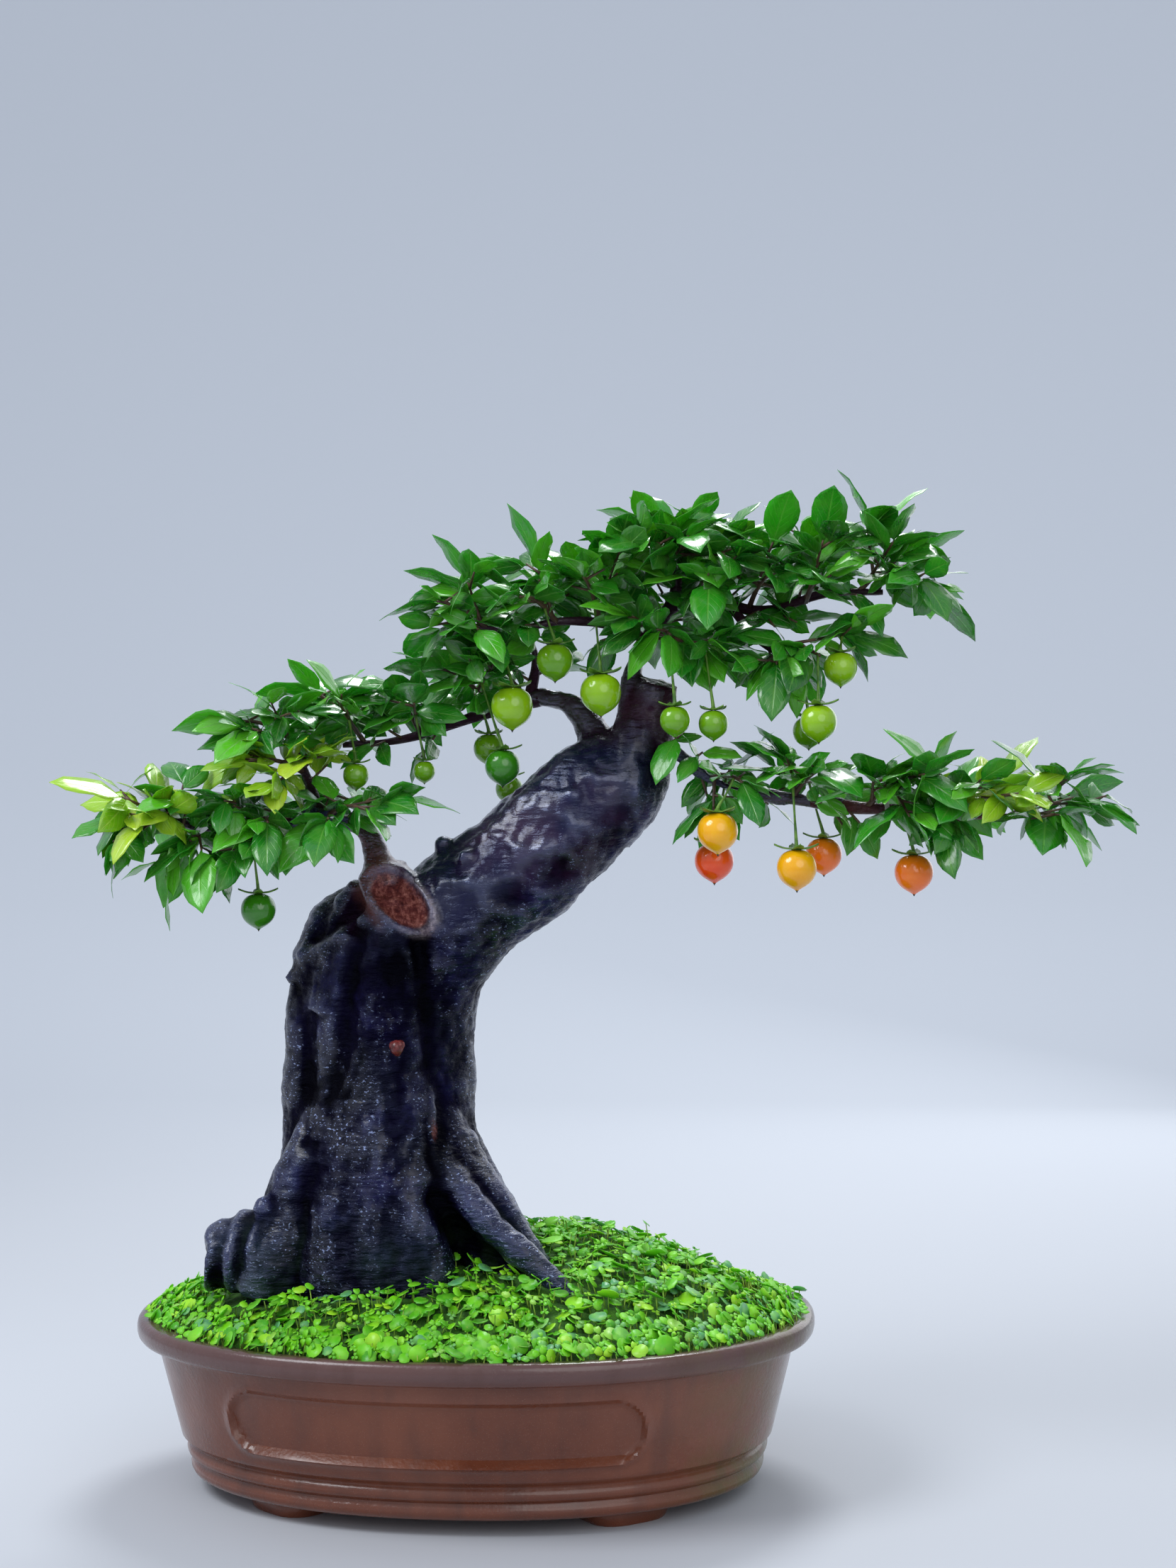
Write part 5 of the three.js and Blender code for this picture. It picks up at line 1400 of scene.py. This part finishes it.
fruitTones = {
    "deep_green": [(0.022, 0.17, 0.004), (0.05, 0.29, 0.008)],
    "green": [(0.11, 0.33, 0.004), (0.22, 0.47, 0.010)],
    "light_green": [(0.22, 0.47, 0.004), (0.36, 0.62, 0.010)],
    "yellow": [(0.90, 0.36, 0.001), (0.98, 0.56, 0.004)],
    "orange": [(0.90, 0.13, 0.004), (0.98, 0.29, 0.008)],
    "red": [(0.85, 0.045, 0.005), (0.93, 0.16, 0.008)],
}
fruitOutline = [(0.0, -1.21), (0.025, -1.2), (0.045, -1.13), (0.12, -1.06), (0.29, -0.975),
                (0.51, -0.85), (0.72, -0.68), (0.89, -0.46), (0.98, -0.18), (1.0, 0.06),
                (0.965, 0.32), (0.86, 0.56), (0.68, 0.76), (0.44, 0.88), (0.2, 0.915), (0.0, 0.9)]


def makeFruitTemplate():
    deselectAll()
    bpy.ops.mesh.primitive_plane_add(size=1)
    fruit = bpy.context.object
    mesh = bpy.data.meshes.new("fruit_outline")
    mesh.from_pydata([(x, 0, z) for x, z in fruitOutline], [
        (i, i + 1) for i in range(len(fruitOutline) - 1)], [])
    fruit.data = mesh
    editMesh(fruit, "VERT")
    bpy.ops.mesh.select_all(action="SELECT")
    bpy.ops.mesh.spin(steps=32, angle=math.tau, center=(0, 0, 0), axis=(0, 0, 1))
    leaveEdit()
    mendNormals(fruit, 0.0005)
    applyModifier(fruit, "SUBSURF", levels=1, render_levels=1)
    return fruit


def makeFruits():
    template = makeFruitTemplate()
    finishes = {tone: fruitFinish(tone) for tone in fruitTones}
    for number, (at, size, _, _, tone) in enumerate(fruits, 1):
        mesh = template.data.copy()
        local = readPoints(mesh)
        setShare(mesh, "rise", fade(local[:, 2], -1.1, 0.9))
        writePoints(mesh, local * (size / 2 * mm) + np.array(place(*at)))
        fruit = bpy.data.objects.new("persimmon_%d" % number, mesh)
        bpy.context.collection.objects.link(fruit)
        finishMesh(fruit)
        dress(fruit, finishes[tone])
        settle(fruit, "fruit_" + tone, "fruit_%d" % number)
    bpy.data.objects.remove(template)
    print("fruits made", len(fruits))


def fruitFinish(tone):
    finish = newFinish("persimmon_" + tone)
    dark, bright = ((*colour, 1) for colour in fruitTones[tone])
    rise = shareOf(finish, "rise")
    cloud = cloudOf(finish, 55.0, 4.0)
    # Darker towards the bottom and paler towards the calyx: partly the skin's own tone, partly
    # painted shade under the fruit
    share = plus(finish, times(finish, rise, 0.55),
                 times(finish, minus(finish, cloud, 0.4), 1.1))
    skinAndShadeTone = blendTones(finish, share, dark, bright)
    speck = addNode(finish, "TexVoronoi", {"Scale": 700.0})
    dots = ramp(finish, speck.outputs["Distance"], [(0.05, 1.0), (0.14, 0.0)])
    skinAndShadeTone = blendTones(finish, times(finish, dots, 0.15), skinAndShadeTone, (0.75, 0.75, 0.35, 1))
    tip = ramp(finish, rise, [(0.0, 1.0), (0.012, 0.0)])
    feed(finish, "Base Color", blendTones(finish, tip, skinAndShadeTone, (0.02, 0.012, 0.006, 1)))
    feed(finish, "Roughness", ramp(finish, cloud, [(0.35, 0.14), (0.65, 0.24)]))
    feed(finish, "Coat Weight", 0.5)
    feed(finish, "Coat Roughness", 0.05)
    glow(finish, 0.15, (1.0, 0.6, 0.2), 0.003)
    relief(finish, cloud, 0.0002, 0.3)
    return finish


# Ground cover: a mossy mat on the soil, round scalloped leaves and clover on short stems

cover = {
    "soilEdge": 82, "soilRise": 34, "peak": (60, 35, 10, 60), "rimWidth": 12, "sectors": 6,
    "turn": math.pi / 12, "inner": 0.14, "edge": 0.965, "matTop": 3.2, "matThickness": 0.0022,
    "rows": 26, "columns": 30, "tries": 16000, "most": 2500, "roundShare": 0.52,
    "smallest": 2.3, "spread": 3.7, "tilt": 0.8, "stalk": 2.5, "taller": 7.5, "tallest": 9,
    "tallShare": 0.02, "closest": 0.43, "overRim": (0.86, 91.6), "droop": 0.75,
    "droopReach": (168, 121), "seed": 73,
}


def soilHeight(x, y):
    reach = ((x / (pot["halfLength"] - cover["rimWidth"])) ** 2
             + (y / (pot["halfDepth"] - cover["rimWidth"] * pot["depthShare"])) ** 2)
    px, py, height, spread = cover["peak"]
    away = ((x - px) ** 2 + (y - py) ** 2) / spread ** 2
    return (cover["soilEdge"] + cover["soilRise"] * max(0, 1 - reach) ** 0.9
            + height * math.exp(-away))


def makeMat(sector):
    deselectAll()
    bpy.ops.mesh.primitive_grid_add(x_subdivisions=cover["rows"],
                                    y_subdivisions=cover["columns"], size=2)
    mat = bpy.context.object
    sweep = math.tau / cover["sectors"]
    for vertex in mat.data.vertices:
        share = cover["inner"] + (cover["edge"] - cover["inner"]) * (vertex.co.x + 1) / 2
        turn = cover["turn"] + sweep * (sector + (vertex.co.y + 1) / 2)
        x, y = (v * share for v in ovalPoint(turn, cover["rimWidth"]))
        bump = noise.noise((x * 0.08, y * 0.08, 3)) * 1.6 + noise.noise((x * 0.3, y * 0.3, 8))
        drop = 2.2 * max(0, (share - 0.9) / 0.07)
        height = max(soilHeight(x, y), cover["soilEdge"]) + cover["matTop"] + bump - drop
        vertex.co = place(x, y, height)
    mendNormals(mat)
    applyModifier(mat, "SOLIDIFY", thickness=cover["matThickness"], offset=-1)
    return mat


def insideWood(centre, spare):
    for run in strands.values():
        for a, b in zip(run, run[1:]):
            far = segmentDistance(centre[None], np.array([a[:3]], float),
                                  np.array([b[:3]], float))[0, 0]
            if far < max(a[3], b[3]) + spare:
                return True
    return False


def placeCoverLeaves():
    draw = makeRandom(cover["seed"])
    placed = []
    grid = {}
    rimShare, rimHeight = cover["overRim"]
    for _ in range(cover["tries"]):
        turn = draw() * math.tau
        share = 0.16 + 0.84 * math.sqrt(draw())
        radius = cover["smallest"] + cover["spread"] * draw() ** 1.5
        tilt = cover["tilt"] * draw()
        lean = draw() * math.tau
        spare = cover["taller"] * draw() ** 1.6
        spare += cover["tallest"] * draw() if draw() < cover["tallShare"] else 0
        x, y = (v * share for v in ovalPoint(turn, cover["rimWidth"] - 6))
        column, row = int(x // 8), int(y // 8)
        around = [o for i in (-1, 0, 1) for j in (-1, 0, 1)
                  for o in grid.get((column + i, row + j), [])]
        if any(math.hypot(ox - x, oy - y) < cover["closest"] * (size + radius)
               for ox, oy, size in around):
            continue
        ground = max(soilHeight(x, y), cover["soilEdge"]) + cover["matTop"] - 1
        z = ground + cover["stalk"] + spare
        if share > rimShare:
            z = max(z, rimHeight + 2.2 * draw() + 5.5 * (1 - share) / 0.14)
        if insideWood(np.array([x, y, z]), radius * 0.55):
            continue
        grid.setdefault((column, row), []).append((x, y, radius))
        sweep = (turn - cover["turn"]) / math.tau * cover["sectors"]
        placed.append({"at": (x, y, z), "ground": ground, "radius": radius, "tilt": tilt,
                       "lean": lean, "sector": math.floor(sweep) % cover["sectors"],
                       "round": draw() < cover["roundShare"], "tone": draw()})
        if len(placed) >= cover["most"]:
            break
    return placed


def makeRoundLeaf():
    deselectAll()
    bpy.ops.mesh.primitive_circle_add(vertices=18, radius=1, fill_type="TRIFAN")
    leaf = bpy.context.object
    for vertex in leaf.data.vertices:
        far = math.hypot(vertex.co.x, vertex.co.y)
        if far < 0.1:
            vertex.co.z = -0.16
            continue
        turn = math.atan2(vertex.co.y, vertex.co.x)
        near = abs(turn)
        reach = 0.45 if near < 0.12 else 0.86 if round(turn / math.tau * 18) % 3 == 0 else 1.0
        vertex.co = (vertex.co.x * reach, vertex.co.y * reach, 0.05 * math.cos(2 * turn))
    applyModifier(leaf, "SOLIDIFY", thickness=0.07, offset=0)
    return leaf


def makeCloverLeaf():
    leaflets = []
    for k in range(3):
        deselectAll()
        bpy.ops.mesh.primitive_circle_add(vertices=8, radius=0.46, fill_type="TRIFAN")
        leaflet = bpy.context.object
        for vertex in leaflet.data.vertices:
            x, y = vertex.co.x, vertex.co.y
            notch = 0.13 if x > 0.4 else 0
            vertex.co = (x + 0.5 - notch, y * (0.8 + 0.5 * x), 0.16 * abs(y) - 0.05 * (x + 0.4))
        leaflet.rotation_euler.z = k * math.tau / 3
        finishMesh(leaflet)
        leaflets.append(leaflet)
    clover = joinPieces(leaflets, "clover")
    applyModifier(clover, "SOLIDIFY", thickness=0.06, offset=0)
    return clover


def makeStem():
    deselectAll()
    bpy.ops.mesh.primitive_cone_add(vertices=3, radius1=0.5, radius2=0.32, depth=1,
                                    location=(0, 0, -0.5))
    stem = bpy.context.object
    finishMesh(stem)
    return stem


def copyCover(template, leaf, kind):
    mesh = template.data.copy()
    local = readPoints(mesh)
    x, y, z = leaf["at"]
    c, s = math.cos(leaf["lean"]), math.sin(leaf["lean"])
    if kind == "stem":
        foot = np.array([x + 2.2 * c, y + 2.2 * s, leaf["ground"] - 1])
        head = np.array([x, y, z - 0.12 * leaf["radius"]])
        places = head + (head - foot) * local[:, 2:3] + local * (0.9, 0.9, 0)
    else:
        outward = math.atan2(y, x)
        out = math.hypot(x / cover["droopReach"][0], y / cover["droopReach"][1])
        tip = Matrix.Rotation(cover["droop"] * min(1, out) ** 3, 3,
                              Vector((-math.sin(outward), math.cos(outward), 0)))
        turn = Matrix.Rotation(leaf["tilt"], 3, Vector((-s, c, 0)))
        spin = Matrix.Rotation(leaf["lean"] * 3, 3, "Z")
        places = local @ np.array(tip @ turn @ spin).T * leaf["radius"] + np.array([x, y, z])
    return addCopy(kind, mesh, places, leaf["tone"])


def makeCover():
    leaves = placeCoverLeaves()
    templates = {"round": makeRoundLeaf(), "clover": makeCloverLeaf(), "stem": makeStem()}
    matFinish = mottledFinish("mossy_mat", 130.0, [
        (0.3, (0.012, 0.035, 0.004, 1)), (0.5, (0.035, 0.13, 0.008, 1)),
        (0.7, (0.09, 0.27, 0.012, 1))], 0.85, (0.0025, 1.0), 6.0, 0.7)
    stemFinish = mottledFinish("yellow_green_stem", 90.0, [
        (0.35, (0.14, 0.38, 0.02, 1)), (0.65, (0.34, 0.50, 0.06, 1))], 0.5, None, 2.0)
    headFinish = coverFinish()
    for sector in range(cover["sectors"]):
        own = [leaf for leaf in leaves if leaf["sector"] == sector]
        mat = makeMat(sector)
        heads = joinPieces([copyCover(templates["round" if leaf["round"] else "clover"], leaf,
                                      "head") for leaf in own], "heads")
        stems = joinPieces([copyCover(templates["stem"], leaf, "stem") for leaf in own], "stems")
        for part, finish in ((mat, matFinish), (heads, headFinish), (stems, stemFinish)):
            dress(part, finish)
        patch = joinPieces([mat, heads, stems], "ground_cover_%d" % (sector + 1))
        finishMesh(patch)
        settle(patch, "ground_leaf", "cover_%d" % (sector + 1))
    for template in templates.values():
        bpy.data.objects.remove(template)
    print("cover made", len(leaves), "leaves")


def coverFinish():
    finish = newFinish("round_cover_leaf")
    base = ramp(finish, shareOf(finish, "tone"), [
        (0.0, (0.05, 0.33, 0.006, 1)), (0.35, (0.11, 0.52, 0.006, 1)),
        (0.72, (0.20, 0.68, 0.008, 1)), (0.86, (0.36, 0.74, 0.015, 1)),
        (0.94, (0.10, 0.36, 0.14, 1))])
    cloud = cloudOf(finish, 220.0, 3.0)
    mottle = ramp(finish, cloud, [(0.4, 0.0), (0.7, 0.5)])
    feed(finish, "Base Color", blendTones(finish, mottle, base, (0.26, 0.66, 0.03, 1)))
    feed(finish, "Roughness", ramp(finish, cloud, [(0.35, 0.34), (0.65, 0.55)]))
    glow(finish, 0.15, (0.4, 1.0, 0.1), 0.002)
    relief(finish, cloud, 0.0004, 0.5)
    return finish


# The soil and the drain nets are the solids themselves, each with its finish
def finishSoil():
    nodes = frame["nodes"]
    earth = newFinish("damp_soil")
    dirt = ramp(earth, cloudOf(earth, 60.0, 5.0), [
        (0.35, (0.018, 0.011, 0.007, 1)), (0.65, (0.06, 0.040, 0.026, 1))])
    grit = addNode(earth, "TexVoronoi", {"Scale": 420.0}).outputs["Distance"]
    pale = ramp(earth, grit, [(0.2, 0.35), (0.5, 0.0)])
    feed(earth, "Base Color", blendTones(earth, pale, dirt, (0.13, 0.10, 0.07, 1)))
    feed(earth, "Roughness", 0.9)
    relief(earth, grit, 0.0015, 0.8)
    dress(nodes["soil"], earth)
    net = newFinish("drain_net")
    weave = addNode(net, "TexWave", {"Scale": 260.0, "Distortion": 0.5}).outputs["Fac"]
    feed(net, "Base Color", ramp(net, weave, [
        (0.3, (0.02, 0.02, 0.02, 1)), (0.7, (0.06, 0.06, 0.06, 1))]))
    feed(net, "Roughness", 0.7)
    relief(net, weave, 0.0004, 0.5)
    for name in ("drain_screen_left", "drain_screen_right"):
        dress(nodes[name], net)
    print("soil and nets finished")


makeCamera()
makeLights()
makeFloor()
makePot()
makeTrunk()
makeBud()
makeTie()
makeSprays()
makeFruits()
makeCover()
finishSoil()

deselectAll()
